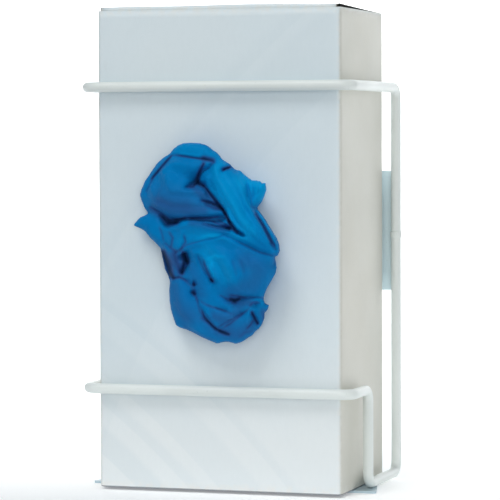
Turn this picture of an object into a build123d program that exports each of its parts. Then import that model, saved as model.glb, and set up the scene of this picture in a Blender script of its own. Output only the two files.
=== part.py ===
from build123d import *
from math import atan2, cos, hypot, inf, sin, sqrt
import os

# Wall holder for one carton of disposable gloves, in millimetres, +Z up, front toward -Y.
# The wall is the plane y = 0, and the origin is the middle of the four wall screws on it.

# Driving dimensions: carton
CARTON_WIDTH = 127.0
CARTON_DEPTH = 80.0
CARTON_HEIGHT = 240.0
BOARD = 0.6  # thickness of the paperboard
CORNER_FOLD = 2.4  # outside radius of the four upright folds
DUST_FLAP_REACH = 42.0  # how far each side flap reaches in at the ends
SEAM_LAP = 14.0  # glued lap inside the left panel
LID_LIFT = 1.9  # how far the top flap bows up above its front fold
LID_FOLD = 1.4  # outside radius of that fold
LID_STEP = 0.3  # the fold sits this far behind the front panel
LID_TUCK = 1.0  # from the free edge of the lid to the back of the carton
OPENING_WIDTH = 38.0
OPENING_HEIGHT = 78.0

# Driving dimensions: wire frame
WIRE_DIAMETER = 5.2
WIRE_FLATTENING = 0.005  # drawn and bent wire is this much out of round
BEND_RADIUS = 6.0  # to the centre line of the wire
SIDE_GAP = 3.4  # from the carton to the wire beside it
FRONT_GAP = 0.4  # from the carton to the two front bars
REAR_GAP = 0.8  # from the carton to the rear uprights
TOP_BAR_HEIGHT = 201.8  # centre line above the base plate
LOWER_BAR_HEIGHT = 50.2
SHORT_UPRIGHT_SETBACK = 28.3  # front of the carton to the short uprights
WELD_HEIGHT = 126.0  # butt weld that closes the loop, above the base plate
WELD_LENGTH = 3.2
WELD_RISE = 0.35
WELD_EDGE = 0.3
WELD_DRESSING = 0.1  # ground off behind the bead, so that the wire alone meets the back plate

# Driving dimensions: plates
BACK_PLATE_MARGIN = 1.0  # past the centre line of the rear uprights
BACK_PLATE_HEIGHT = 62.0
BACK_PLATE_THICKNESS = 1.5
BACK_PLATE_CORNER = 3.0
SCREW_SPACING_ACROSS = 100.0
SCREW_SPACING_UP = 38.0
SCREW_HOLE = 5.5
SCREWS_ABOVE_BASE = 127.8  # centre of the screws above the base plate
BASE_PLATE_THICKNESS = 1.2
BASE_PLATE_FRONT_MARGIN = 6.0  # past the centre line of the side runs
BASE_PLATE_REAR_INSET = 3.5  # short of that line
BASE_PLATE_DEPTH = 38.0
BASE_PLATE_SETBACK = 21.5  # front of the carton to the front edge of the plate
BASE_PLATE_CORNER = 1.5

# Driving dimensions: gloves
SOFT_GAP = 0.3  # clearance around the soft parts
STACK_SIDE_ROOM = 4.9  # between the folded gloves and each side panel
STACK_HEADROOM = 10.7  # above them, under the three plies of the top
STACK_FRONT_ROOM = 12.9  # in front of them, for the glove that is drawn next
STACK_LAYERS = 8
LAYER_SHIFT = 1.6  # every other layer is folded this much shorter
LAYER_CORNER = 6.0
END_PLIES = 3  # panels folded over each other at each end of the carton
NECK_SIDE_ROOM = 8.0  # from the film to the side of the oval
NECK_END_ROOM = 11.0  # from the film to each end of the oval
FOOT_WIDTH = 74.0
FOOT_HEIGHT = 112.0
FOOT_THICKNESS = 3.0
FOOT_CORNER = 18.0
HUB_X = -2.0  # middle of the crumple, from which the reach of its edge is measured
HUB_Z = 2.0
NET_CELLS = 26  # cells of the net of facets, each way
THINNEST_FILM = 2.0
FOLD_FULLNESS = 2.0  # a higher power gives fuller folds with tighter creases
FOLD_BLEND = 3.0  # a higher power keeps each fold's rise nearer to its own route
FOLD_CORE = 0.3  # half width of the line along which a fold has its full rise
EDGE_SHARE = 0.6  # rise of the edge, as a share of the film beside it
UNDERCUT = 3.0  # how far in from the edge the crumple first touches the carton
UNDER_SHIFT = 1.0  # the touching part lies this far to the left of the crumple
FOLD_UNIT = 1.0  # length of one unit in the tables of folds

# Places that follow from the sizes
wire_radius = WIRE_DIAMETER / 2
floor_z = -SCREWS_ABOVE_BASE
rear_y = -(BACK_PLATE_THICKNESS + wire_radius)
carton_back_y = rear_y - wire_radius - REAR_GAP
carton_front_y = carton_back_y - CARTON_DEPTH
carton_mid_y = (carton_back_y + carton_front_y) / 2
carton_top_z = floor_z + CARTON_HEIGHT
front_y = carton_front_y - FRONT_GAP - wire_radius
side_x = CARTON_WIDTH / 2 + SIDE_GAP + wire_radius
short_y = carton_front_y + SHORT_UPRIGHT_SETBACK
top_z = floor_z + TOP_BAR_HEIGHT
lower_z = floor_z + LOWER_BAR_HEIGHT
bottom_z = floor_z + wire_radius
opening_z = floor_z + CARTON_HEIGHT / 2
back_plate_width = 2 * (side_x + BACK_PLATE_MARGIN)
base_plate_front_width = 2 * (side_x + BASE_PLATE_FRONT_MARGIN)
base_plate_rear_width = 2 * (side_x - BASE_PLATE_REAR_INSET)
stack_width = CARTON_WIDTH - 2 * (BOARD + STACK_SIDE_ROOM)
stack_floor_z = floor_z + END_PLIES * BOARD + SOFT_GAP
stack_height = carton_top_z - (END_PLIES - 1) * BOARD - STACK_HEADROOM - stack_floor_z
stack_back_y = carton_back_y - BOARD - SOFT_GAP
stack_front_y = carton_front_y + BOARD + STACK_FRONT_ROOM
layer_thickness = (stack_back_y - stack_front_y) / STACK_LAYERS
neck_width = OPENING_WIDTH - 2 * NECK_SIDE_ROOM
neck_height = OPENING_HEIGHT - 2 * NECK_END_ROOM

# The folds of the pulled-out glove, in fold units: across and up from the middle of the
# opening, and rise in front of the carton. The film runs over the crests and sinks into
# the creases; its edge goes anticlockwise from the right.
FILM_EDGE = [
    (36, 1), (32, 10), (25, 20), (23, 22), (28, 31), (28, 34), (21, 35), (8, 46), (-6, 54), (-18, 53),
    (-30, 44), (-39, 30), (-35, 19), (-43, 13), (-33, 7), (-28, 1), (-25, -12), (-23, -24), (-19, -37),
    (-8, -42), (2, -46), (15, -45), (25, -36), (29, -26), (27, -21), (33, -10), (32, -2),
]
CRESTS = {
    "crown": [(-19, 50, 11), (-7, 53, 15), (0, 51, 15), (5, 47, 14)],
    "left_strip": [(-19, 49, 11), (-33, 36, 9), (-37, 29, 9), (-33, 19, 9)],
    "puff": [(-23, 40, 19), (-23, 33, 21), (-8, 27, 23), (0, 23, 21)],
    "puff_top": [(-18, 45, 17), (-4, 43, 19)],
    "puff_lip": [(-28, 24, 15), (-18, 19, 17), (0, 19, 20), (9, 19, 19)],
    "shoulder": [(6, 44, 19), (3, 37, 21), (13, 24, 26), (15, 18, 27), (23, 10, 26), (35, 1, 20)],
    "shoulder_front": [(14, 39, 20), (24, 22, 23), (29, 12, 23), (34, 5, 20)],
    "cuff": [(20, 36, 15), (30, 33, 16), (26, 23, 15)],
    "hem": [(26, 21, 16), (36, 5, 19), (37, 1, 18)],
    "tip": [(-41, 13, 7), (-33, 14, 11), (-19, 10, 16)],
    "twist_upper": [(-18, 11, 17), (-6, 14, 22), (13, 11, 25), (22, 7, 24), (34, 1, 19)],
    "twist_lower": [(-25, 4, 12), (-17, 1, 16), (10, 7, 25), (28, -1, 21), (35, -2, 18)],
    "dome_left": [(-5, 0, 21), (1, -2, 24), (7, -12, 24)],
    "dome": [(5, 2, 25), (12, -1, 28), (16, -8, 28), (19, -19, 21)],
    "dome_right": [(25, -5, 24), (33, -9, 16), (31, -16, 15)],
    "palm": [(-9, -7, 16), (-4, -14, 18), (8, -24, 19)],
    "left_rim": [(-20, -15, 12), (-18, -32, 13), (-13, -37, 13), (3, -44, 14), (20, -42, 14), (24, -37, 12)],
    "thumb": [(-14, -16, 16), (-11, -23, 18), (-11, -29, 17)],
    "crumple": [(30, -26, 13), (27, -23, 17), (21, -23, 18), (21, -28, 17), (19, -36, 15)],
    "band": [(1, -29, 17), (14, -31, 17), (17, -39, 14)],
}
CREASES = {
    "crown": [(-35, 29, 8), (-21, 48, 9), (-4, 46, 16), (2, 44, 13)],
    "pit": [(2, 44, 13), (-6, 39, 11), (-7, 34, 10), (-3, 31, 13), (13, 12, 13), (17, 9, 17)],
    "under_puff": [(-32, 22, 9), (-22, 15, 8), (-5, 17, 16), (9, 18, 15)],
    "twist": [(-17, 0, 14), (-10, 3, 18), (11, 9, 23), (34, -1, 17)],
    "left_hollow": [(-28, 1, 5), (-23, -14, 6)],
    "deep_hollow": [(-16, -2, 11), (-12, -6, 9), (-16, -10, 10)],
    "dome_foot": [(-4, -2, 18), (3, -14, 17)],
    "dome_bottom": [(8, -21, 17), (11, -24, 12), (28, -22, 13)],
    "thumb": [(-21, -13, 10), (-15, -13, 14), (-6, -22, 15), (-3, -33, 13), (9, -40, 10)],
    "band": [(-3, -24, 17), (10, -29, 17)],
    "crumple": [(21, -30, 11), (24, -35, 9)],
    "cuff": [(19, 37, 14), (24, 22, 15), (35, 2, 16)],
    "dome_side": [(34, -2, 14), (33, -6, 12)],
}


def wire_frame():
    """One closed loop of round wire: half of it is swept, then mirrored at the middle plane."""
    route = FilletPolyline(
        (0, front_y, top_z),
        (side_x, front_y, top_z),
        (side_x, rear_y, top_z),
        (side_x, rear_y, bottom_z),
        (side_x, short_y, bottom_z),
        (side_x, short_y, lower_z),
        (side_x, front_y, lower_z),
        (0, front_y, lower_z),
        radius=BEND_RADIUS,
    )
    section = Ellipse(wire_radius, wire_radius - WIRE_FLATTENING / 2)
    half = sweep(Plane((0, front_y, top_z), z_dir=(1, 0, 0)) * section, path=route)
    bead = Cylinder(wire_radius + WELD_RISE, WELD_LENGTH)
    bead = chamfer(bead.edges().filter_by(GeomType.CIRCLE), WELD_EDGE)
    rear_half = (Align.CENTER, Align.MIN, Align.CENTER)
    dressing = Box(2 * WIRE_DIAMETER, WIRE_DIAMETER, 2 * WELD_LENGTH, align=rear_half)
    bead -= Pos(0, wire_radius - WELD_DRESSING, 0) * dressing
    weld = Pos(side_x, rear_y, floor_z + WELD_HEIGHT) * bead
    return half + mirror(half, Plane.YZ) + weld


def back_plate():
    """Sheet steel across the rear uprights, flat on the wall, with four screw holes."""
    outline = RectangleRounded(back_plate_width, BACK_PLATE_HEIGHT, BACK_PLATE_CORNER)
    holes = GridLocations(SCREW_SPACING_ACROSS, SCREW_SPACING_UP, 2, 2) * Circle(SCREW_HOLE / 2)
    return extrude(Plane.XZ * (outline - holes), BACK_PLATE_THICKNESS)


def base_plate():
    """Sheet steel under the bottom runs of the wire, with ends that taper toward the wall."""
    edge_y = carton_front_y + BASE_PLATE_SETBACK
    outline = Polyline(
        (-base_plate_front_width / 2, edge_y),
        (base_plate_front_width / 2, edge_y),
        (base_plate_rear_width / 2, edge_y + BASE_PLATE_DEPTH),
        (-base_plate_rear_width / 2, edge_y + BASE_PLATE_DEPTH),
        close=True,
    )
    sheet = make_face(outline)
    sheet = fillet(sheet.vertices(), BASE_PLATE_CORNER)
    return Pos(0, 0, floor_z) * extrude(sheet, -BASE_PLATE_THICKNESS)


def facing_front(y, z):
    """A plane parallel to the wall, looking out of the front, with its x axis across."""
    return Plane((0, y, z), x_dir=(1, 0, 0), z_dir=(0, -1, 0))


def panel_box(x_size, y_size, z_low, z_high, x_mid=0.0, y_mid=carton_mid_y):
    """A flat piece of board with its sides along the axes."""
    return Pos(x_mid, y_mid, (z_low + z_high) / 2) * Box(x_size, y_size, z_high - z_low)


def end_flaps(outer_z, inward):
    """The two dust flaps and the flap glued over them; inward is +1 at the bottom, -1 at the top."""
    inner_width = CARTON_WIDTH - 2 * BOARD
    inner_depth = CARTON_DEPTH - 2 * BOARD
    levels = sorted((outer_z, outer_z + inward * BOARD))
    flaps = panel_box(inner_width, inner_depth, *levels)
    dust_levels = sorted((outer_z + inward * BOARD, outer_z + inward * 2 * BOARD))
    for side in (-1, 1):
        dust_x = side * (inner_width - DUST_FLAP_REACH) / 2
        flaps += panel_box(DUST_FLAP_REACH, inner_depth, *dust_levels, x_mid=dust_x)
    return flaps


def lid():
    """The outer top flap, bowed up at its front fold and open at both sides."""
    fold_y = carton_front_y + LID_STEP
    free_y = carton_back_y - LID_TUCK
    crest_z = carton_top_z + LID_LIFT
    rest_z = carton_top_z + BOARD
    outline = Polyline(
        (fold_y, carton_top_z - BOARD),
        (fold_y, crest_z),
        (free_y, rest_z),
        (free_y, rest_z - BOARD),
        (fold_y + BOARD, crest_z - BOARD),
        (fold_y + BOARD, carton_top_z - BOARD),
        close=True,
    )
    section = make_face(outline)
    outer_corner = section.vertices().sort_by_distance((fold_y, crest_z))[0]
    section = fillet(outer_corner, LID_FOLD)
    inner_corner = section.vertices().sort_by_distance((fold_y + BOARD, crest_z - BOARD))[0]
    section = fillet(inner_corner, LID_FOLD - BOARD)
    return extrude(Plane.YZ * section, CARTON_WIDTH / 2 - CORNER_FOLD, both=True)


def carton():
    """One folded and glued blank: four panels, end flaps, bowed lid, seam lap and torn-out oval."""
    outside = RectangleRounded(CARTON_WIDTH, CARTON_DEPTH, CORNER_FOLD)
    inside = RectangleRounded(CARTON_WIDTH - 2 * BOARD, CARTON_DEPTH - 2 * BOARD, CORNER_FOLD - BOARD)
    body = Pos(0, carton_mid_y, floor_z) * extrude(outside - inside, CARTON_HEIGHT)
    floor = Pos(0, carton_mid_y, floor_z) * extrude(outside, BOARD)
    seam_x = -(CARTON_WIDTH / 2 - 1.5 * BOARD)
    seam_y = carton_back_y - CORNER_FOLD - SEAM_LAP / 2
    seam = panel_box(BOARD, SEAM_LAP, floor_z, carton_top_z - BOARD, seam_x, seam_y)
    body += [floor, end_flaps(floor_z + BOARD, 1), end_flaps(carton_top_z, -1), seam, lid()]
    oval = SlotOverall(OPENING_HEIGHT, OPENING_WIDTH, rotation=90)
    cutter = extrude(facing_front(carton_front_y, opening_z) * oval, 2 * BOARD, both=True)
    return body - cutter


def glove_stack():
    """The gloves left in the carton: folded layers, alternately a little shorter and narrower."""
    stack = Part()
    for layer in range(STACK_LAYERS):
        trim = LAYER_SHIFT * (layer % 2)
        outline = RectangleRounded(stack_width - trim, stack_height - trim, LAYER_CORNER)
        layer_y = stack_back_y - layer * layer_thickness
        layer_z = stack_floor_z + (stack_height - trim) / 2
        stack += extrude(facing_front(layer_y, layer_z) * outline, layer_thickness)
    return stack


def blended_rise(routes, across, up):
    """The rise of a set of folds at a point, each weighted by nearness, and the way to the nearest."""
    total = 0.0
    weights = 0.0
    nearest = inf
    for route in routes.values():
        away, rise = fold_rise(route, across, up)
        weight = (away + FOLD_CORE) ** -FOLD_BLEND
        total += weight * rise
        weights += weight
        nearest = min(nearest, away)
    return total / weights, nearest


def fold_rise(route, across, up):
    """How far a point is from the route of one fold, and the rise of the fold there."""
    nearest = (inf, 0.0)
    for (x1, z1, rise1), (x2, z2, rise2) in zip(route, route[1:]):
        run_x = x2 - x1
        run_z = z2 - z1
        along = ((across - x1) * run_x + (up - z1) * run_z) / (run_x**2 + run_z**2)
        along = min(max(along, 0.0), 1.0)
        away = hypot(across - x1 - along * run_x, up - z1 - along * run_z)
        nearest = min(nearest, (away, rise1 + along * (rise2 - rise1)))
    return nearest


def skin_rise(across, up):
    """Height of the film at a point: round over the crests and tight in the creases."""
    crest, to_crest = blended_rise(CRESTS, across / FOLD_UNIT, up / FOLD_UNIT)
    crease, to_crease = blended_rise(CREASES, across / FOLD_UNIT, up / FOLD_UNIT)
    fullness = 1 - (to_crest / (to_crest + to_crease)) ** FOLD_FULLNESS
    return max(FOLD_UNIT * (crease + (crest - crease) * fullness), THINNEST_FILM)


def edge_reach(angle):
    """Distance from the hub to the edge of the crumple in one direction."""
    reach = 0.0
    for (x1, z1), (x2, z2) in zip(FILM_EDGE, FILM_EDGE[1:] + FILM_EDGE[:1]):
        start = Vector(x1, z1) * FOLD_UNIT - Vector(HUB_X, HUB_Z)
        run = Vector(x2 - x1, z2 - z1) * FOLD_UNIT
        toward = Vector(cos(angle), sin(angle))
        slant = toward.cross(run).Z
        if slant <= 0:
            continue
        along = toward.cross(start).Z / -slant
        if 0 <= along <= 1:
            reach = max(reach, start.cross(run).Z / slant)
    return reach


def skin_point(reach, angle, rise):
    """A point of the film, this far from the hub and this high above the front panel."""
    across = HUB_X + reach * cos(angle)
    return Vector(across, carton_front_y - SOFT_GAP - rise, opening_z + HUB_Z + reach * sin(angle))


def skin_grid():
    """A square net of skin points, drawn round to the edge."""
    places = [2 * step / NET_CELLS - 1 for step in range(NET_CELLS + 1)]
    net = []
    for a in places:
        column = []
        for b in places:
            across = a * sqrt(1 - b * b / 2)
            up = b * sqrt(1 - a * a / 2)
            angle = atan2(up, across)
            reach = hypot(across, up) * edge_reach(angle)
            rise = skin_rise(HUB_X + reach * cos(angle), HUB_Z + reach * sin(angle))
            if max(abs(a), abs(b)) == 1:
                rise *= EDGE_SHARE
            column.append(skin_point(reach, angle, rise))
        net.append(column)
    return net


def under_point(point):
    """Where the underside, drawn in from a point of the edge, touches the carton."""
    across = point.X - HUB_X
    up = point.Z - opening_z - HUB_Z
    reach = hypot(across, up) - UNDERCUT
    return skin_point(reach, atan2(up, across), 0) - Vector(UNDER_SHIFT, 0, 0)


def triangle(*corners):
    """One flat facet."""
    return Face(Wire.make_polygon(corners, close=True))


def crumpled_tuft():
    """The part in front of the carton: creased facets over the folds, drawn in to a flat underside."""
    net = skin_grid()
    left, right = net[0], net[-1]
    bottom = [column[0] for column in net]
    top = [column[-1] for column in net]
    edge = bottom[:-1] + right[:-1] + top[:0:-1] + left[:0:-1]
    under = [under_point(point) for point in edge]
    facets = [Face(Wire.make_polygon(under, close=True))]
    for step in range(-1, len(edge) - 1):
        facets.append(triangle(edge[step], edge[step + 1], under[step]))
        facets.append(triangle(edge[step + 1], under[step + 1], under[step]))
    for column, following in zip(net, net[1:]):
        for low in range(NET_CELLS):
            corners = [column[low], following[low], following[low + 1], column[low + 1]]
            if abs(corners[0].Y - corners[2].Y) < abs(corners[1].Y - corners[3].Y):
                corners = corners[1:] + corners[:1]
            facets.append(triangle(corners[0], corners[1], corners[3]))
            facets.append(triangle(corners[1], corners[2], corners[3]))
    return Solid(Shell(facets))


def dispensed_glove():
    """The next glove, pulled through the oval: crumpled tuft, neck, and foot still in the carton."""
    seat = facing_front(stack_front_y - SOFT_GAP, opening_z)
    foot = extrude(seat * RectangleRounded(FOOT_WIDTH, FOOT_HEIGHT, FOOT_CORNER), FOOT_THICKNESS)
    neck_reach = stack_front_y - carton_front_y + SOFT_GAP
    neck = extrude(seat * SlotOverall(neck_height, neck_width, rotation=90), neck_reach)
    return crumpled_tuft() + neck + foot


PARTS = {
    "wire_frame": wire_frame,
    "back_plate": back_plate,
    "base_plate": base_plate,
    "carton": carton,
    "glove_stack": glove_stack,
    "dispensed_glove": dispensed_glove,
}

os.makedirs("parts", exist_ok=True)
for name, make in PARTS.items():
    export_step(make(), f"parts/{name}.step")
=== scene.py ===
import math

import bmesh
import bpy
import numpy as np
from bpy.props import FloatProperty, FloatVectorProperty, IntProperty, PointerProperty
from bpy.types import Operator, Panel, PropertyGroup
from mathutils import Matrix, Vector


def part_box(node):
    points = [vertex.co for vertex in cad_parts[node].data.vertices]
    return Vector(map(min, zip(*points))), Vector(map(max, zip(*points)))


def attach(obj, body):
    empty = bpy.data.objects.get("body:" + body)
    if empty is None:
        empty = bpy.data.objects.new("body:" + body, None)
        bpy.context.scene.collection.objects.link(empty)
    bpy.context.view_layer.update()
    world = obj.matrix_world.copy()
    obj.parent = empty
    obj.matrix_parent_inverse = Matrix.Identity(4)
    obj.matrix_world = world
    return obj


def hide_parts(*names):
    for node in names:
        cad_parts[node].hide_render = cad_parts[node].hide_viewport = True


bl_info = {
    "name": "Glove Dispenser",
    "version": (1, 0, 0),
    "blender": (4, 5, 0),
    "location": "3D View > Sidebar > Dispenser",
    "description": "Dresses a coated wire wall holder and its carton of disposable gloves",
    "category": "Add Mesh",
}

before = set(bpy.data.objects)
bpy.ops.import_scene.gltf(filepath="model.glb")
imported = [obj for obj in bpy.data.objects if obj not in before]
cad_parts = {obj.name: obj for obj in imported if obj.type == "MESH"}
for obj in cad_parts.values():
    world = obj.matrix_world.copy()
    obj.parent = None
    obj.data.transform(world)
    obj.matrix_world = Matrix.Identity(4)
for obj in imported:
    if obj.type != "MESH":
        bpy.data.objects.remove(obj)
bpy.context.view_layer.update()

MM = 0.001
CARTON_LOW, CARTON_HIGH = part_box("carton")
BASE_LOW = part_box("base_plate")[0]
STACK_LOW, STACK_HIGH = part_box("glove_stack")

FLOOR = CARTON_LOW.z  # the carton stands here, on the base plate
FRONT = CARTON_LOW.y  # plane of the front panel
BACK = CARTON_HIGH.y
HALF_WIDTH = CARTON_HIGH.x
PANEL_HEIGHT = 240 * MM
PANEL_TOP = FLOOR + PANEL_HEIGHT
OPENING_Z = FLOOR + PANEL_HEIGHT / 2
OVAL_HALF_WIDTH = 19 * MM
OVAL_HALF_HEIGHT = 39 * MM

# The front bars hold the carton's front flat
BAR_HEIGHTS = (0.0502, 0.2018)  # above the floor
BAR_GRIP = 0.02  # how far from a bar it still holds the panel

BOTTOM_FOLD = 0.0008  # radius of the folds round the bottom
FOLD_WEAR = 0.0028  # how far from a fold its print is rubbed
ON_PANEL = 1e-4  # a point this near to a panel's plane lies on it

LID_INSET = 0.0021  # from the side of the carton to the lid
LID_SETBACK = 0.0004  # from the front panel back to the lid's fold
LID_TUCK = 0.0012  # how far its front edge reaches down behind the panel
LID_FOLD = 0.0014  # radius of its front fold
LID_RISE = 0.0019  # how far it stands up above the panels
LID_FALL = 0.0013  # how far it comes down again to the rear
LID_REAR = 0.001  # from its rear edge to the back of the carton
LID_STEPS = 16
LID_COLUMNS = 24

FLAP_INSET = 0.0014  # from the side of the carton to each dust flap
FLAP_HEIGHT = 0.006
FLAP_RISE = 0.0018  # how far its front stands up above the panels
FLAP_LENGTH = 0.94  # share of the carton's depth
FLAP_STEPS = 12

NECK_HALF_WIDTH = 0.0125
NECK_HALF_HEIGHT = 0.0295
NECK_REACH = 0.0035  # in front of the front panel
NECK_GAP = 0.0006  # from its rear end to the gloves inside
NECK_STEPS = 10

# The viewpoint: where the eye is, how far it turns from straight on, and its field
EYE = Vector((0.42708, -1.36101, 0.04813))
EYE_TURN = 0.3116554
EYE_DIP = 0.0413037
EYE_ROLL = -0.003429
EYE_LENS = 194.71


# The pulled glove, in millimetres from the middle of the opening: (across, up, depth in front of the carton),
# each taken where the line of sight meets the front panel.
OUTLINE = [
    (-44.3, 12.6), (-41.1, 16.4), (-36.8, 18.4), (-37.1, 19.2), (-38.4, 21.2), (-40, 24.7), (-41, 27.7),
    (-40.5, 30.2), (-38.3, 34.7), (-36.7, 36.7), (-34.6, 40.2), (-31.9, 43.7), (-28.2, 46.7), (-25, 48.7),
    (-23.4, 50.7), (-20.7, 52.7), (-18.1, 53.7), (-14.4, 53.9), (-9.1, 53.6), (-6, 52.9), (-3.9, 51.6),
    (-2.6, 50.2), (-0.2, 48.7), (2.4, 45.7), (4.5, 44.4), (6.6, 43.2), (8.1, 41.5), (9.7, 40.2), (11.8, 40),
    (13.8, 38.3), (16.4, 36.3), (18, 35.3), (22.1, 34.8), (23.2, 33.8), (25, 33.8), (25.5, 30.4), (24.2,
    26.9), (22.6, 24.2), (20.5, 21.5), (23.1, 18), (26.2, 13.6), (28.8, 10.1), (30.8, 6.7), (32.1, 3.2),
    (32.3, 0.3), (31.3, -1.9), (29.8, -2.7), (30.3, -5.2), (30.8, -8.1), (30.3, -10.6), (28.2, -14.1),
    (26.1, -17.6), (24.5, -21.1), (24, -23.6), (24.5, -25.5), (26.6, -26.5), (26.1, -28.5), (24.5, -30.5),
    (24.2, -33.5), (22.9, -36.5), (21.4, -38.5), (19.8, -39.5), (18.2, -41.5), (15.1, -43.3), (12, -45.4),
    (9.3, -46.2), (6.2, -45.5), (3.1, -45.5), (-0.6, -46.4), (-4.3, -44.9), (-9.5, -42.8), (-13.8, -40.6),
    (-16.9, -39.4), (-20.1, -38.5), (-22.2, -37.3), (-23.3, -34.8), (-24.8, -29.8), (-25.6, -24.8), (-25.6,
    -19.8), (-25.3, -15.8), (-26.3, -12.3), (-27.9, -8.8), (-29.2, -3.8), (-30, 0.7), (-31.6, 2.7), (-35.8,
    6.4), (-38.5, 9.6), (-41.1, 11.1)
]
CRESTS = {
    "crown": [(-22.8, 49.8, 11), (-17.6, 52.3, 14), (-11.7, 52.7, 15), (-5, 51.4, 15), (0.1, 46.8, 14)],
    "left_strip": [
        (-23.2, 49, 11), (-30.3, 42.8, 10), (-36.6, 35.7, 9), (-40.2, 28.6, 9), (-38.2, 22.3, 9), (-36.4,
        18.4, 9)
    ],
    "puff": [(-26.6, 37.1, 20.5), (-24.4, 30.1, 22), (-15.5, 29.4, 22.2), (-7.3, 28.7, 19)],
    "puff_top": [(-29.2, 39.9, 17.5), (-24.3, 43.4, 17), (-16.9, 42.7, 18.5), (-11.7, 41.8, 17)],
    "puff_lip": [(-33, 23.4, 16), (-24.4, 20.3, 19), (-15.5, 19.7, 20.5), (-6.6, 20, 21), (2.2, 19, 20)],
    "puff_low": [(-29.6, 27.2, 20), (-23.7, 24.5, 21.5), (-15.5, 23.8, 21.8), (-7.4, 23.8, 20.5)],
    "puff_left": [(-34.8, 32.1, 15), (-33.7, 27.2, 16)],
    "shoulder": [
        (-1.4, 43.4, 18), (-0.7, 37.1, 21), (3, 30.1, 24), (8.1, 22.5, 26), (12.4, 15.6, 26.5), (17.5, 10,
        25.5), (23.3, 4.9, 23.5), (28.8, 0.6, 20)
    ],
    "shoulder_l": [
        (-5.1, 36.4, 18.5), (-1.5, 29.4, 21.5), (3.8, 22.1, 24), (6.7, 15.5, 24.5), (10.6, 11, 24.8), (16,
        7.6, 24)
    ],
    "shoulder_r": [(6.7, 39.2, 19), (11.7, 30.9, 21.5), (16.1, 22.5, 23.5), (21.2, 14.2, 24), (27, 5.3, 21)],
    "cuff_top": [(15.4, 36.1, 15), (20.5, 34.5, 16.5), (24.9, 33.1, 16)],
    "cuff_low": [(23.8, 26.7, 15), (20.8, 22.6, 14.5)],
    "cuff_rib_a": [(18, 34.2, 16.5), (18.7, 25.3, 15)],
    "cuff_rib_b": [(20.9, 33.3, 17), (20.5, 25.3, 15.5)],
    "cuff_rib_c": [(23.4, 32.3, 16.5), (22.3, 25.3, 15)],
    "hem": [(21, 20.1, 16), (25.5, 12.9, 18), (30.4, 3.9, 19), (31.4, 0.1, 18)],
    "tip": [(-43.5, 12.8, 7), (-37.1, 13.9, 11), (-31.2, 11.1, 14), (-24.5, 9.7, 16)],
    "twist_upper": [
        (-24.5, 10.8, 17), (-19.3, 12.2, 20), (-13.3, 13.2, 22), (-4.5, 11.3, 24), (4.3, 9.6, 25), (14.6, 6,
        24), (21.9, 2.3, 22), (28.4, -0.3, 19)
    ],
    "twist_lower": [
        (-22.7, 0.3, 16), (-17.1, 1.7, 19), (-11.9, 3.4, 21), (-4.5, 4.3, 23), (2.1, 6.1, 25), (7.3, 4.4,
        25), (14.6, 1, 23), (21.8, -1.7, 21), (29.1, -2.7, 18)
    ],
    "pleat_a": [(-30.1, 8.3, 13), (-27.5, 2, 12)],
    "pleat_b": [(-24.1, 8.7, 16), (-23.8, 1.7, 14)],
    "pleat_c": [(-18.5, 9.1, 19), (-21.2, 1, 16)],
    "dome_left": [(-11.9, -0.7, 20), (-7.5, -2.7, 22.5), (-3.8, -9, 24), (-0.2, -14.5, 23.5)],
    "dome": [(-1.6, 0.8, 25.5), (2.8, -2.6, 27), (7.2, -9.5, 27.5), (10.1, -15.8, 25.5), (12.3, -19.9, 22)],
    "dome_side": [(10.2, -1.2, 25.5), (15.3, -6.7, 25.5), (16, -13.6, 24), (15.9, -19.2, 20.5)],
    "dome_right": [(20.4, -5.2, 23.5), (24, -10, 20.5), (26.2, -14.9, 17)],
    "middle": [(-14.2, -7, 15.5), (-10.5, -14.7, 17.5), (-5.4, -20.9, 18.5), (2, -26.4, 18.8)],
    "middle_b": [(-7.6, -26.5, 18), (-1.7, -28.5, 18.6)],
    "lower_left_rim": [(-24.2, -15.2, 12), (-25, -24, 13), (-22.8, -33.1, 13), (-18, -37.9, 13)],
    "lower_left": [(-20.5, -16.9, 16), (-19.4, -23.9, 18), (-17.2, -30.9, 18), (-12.1, -36.8, 16)],
    "bottom_rim": [
        (-17.3, -38.3, 13), (-10.6, -41.6, 14), (-1.8, -45, 14), (7.1, -44.8, 14), (15.1, -42.6, 14), (20.3,
        -37.9, 12)
    ],
    "crumple_top": [(15.2, -24.4, 18), (21.8, -23.8, 17), (25.5, -27.1, 13)],
    "crumple_a": [(15.9, -28.9, 17), (14.1, -37.3, 15)],
    "crumple_b": [(22.5, -29.5, 14), (23.6, -35.1, 12)],
    "lower_band": [(-4.7, -30.7, 17.5), (2.7, -32.7, 18.5), (9.3, -33.6, 17.5), (2.7, -36.5, 17)],
    "lower_band_b": [(7.1, -38.9, 15), (12.9, -40.2, 14)],
}
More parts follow.
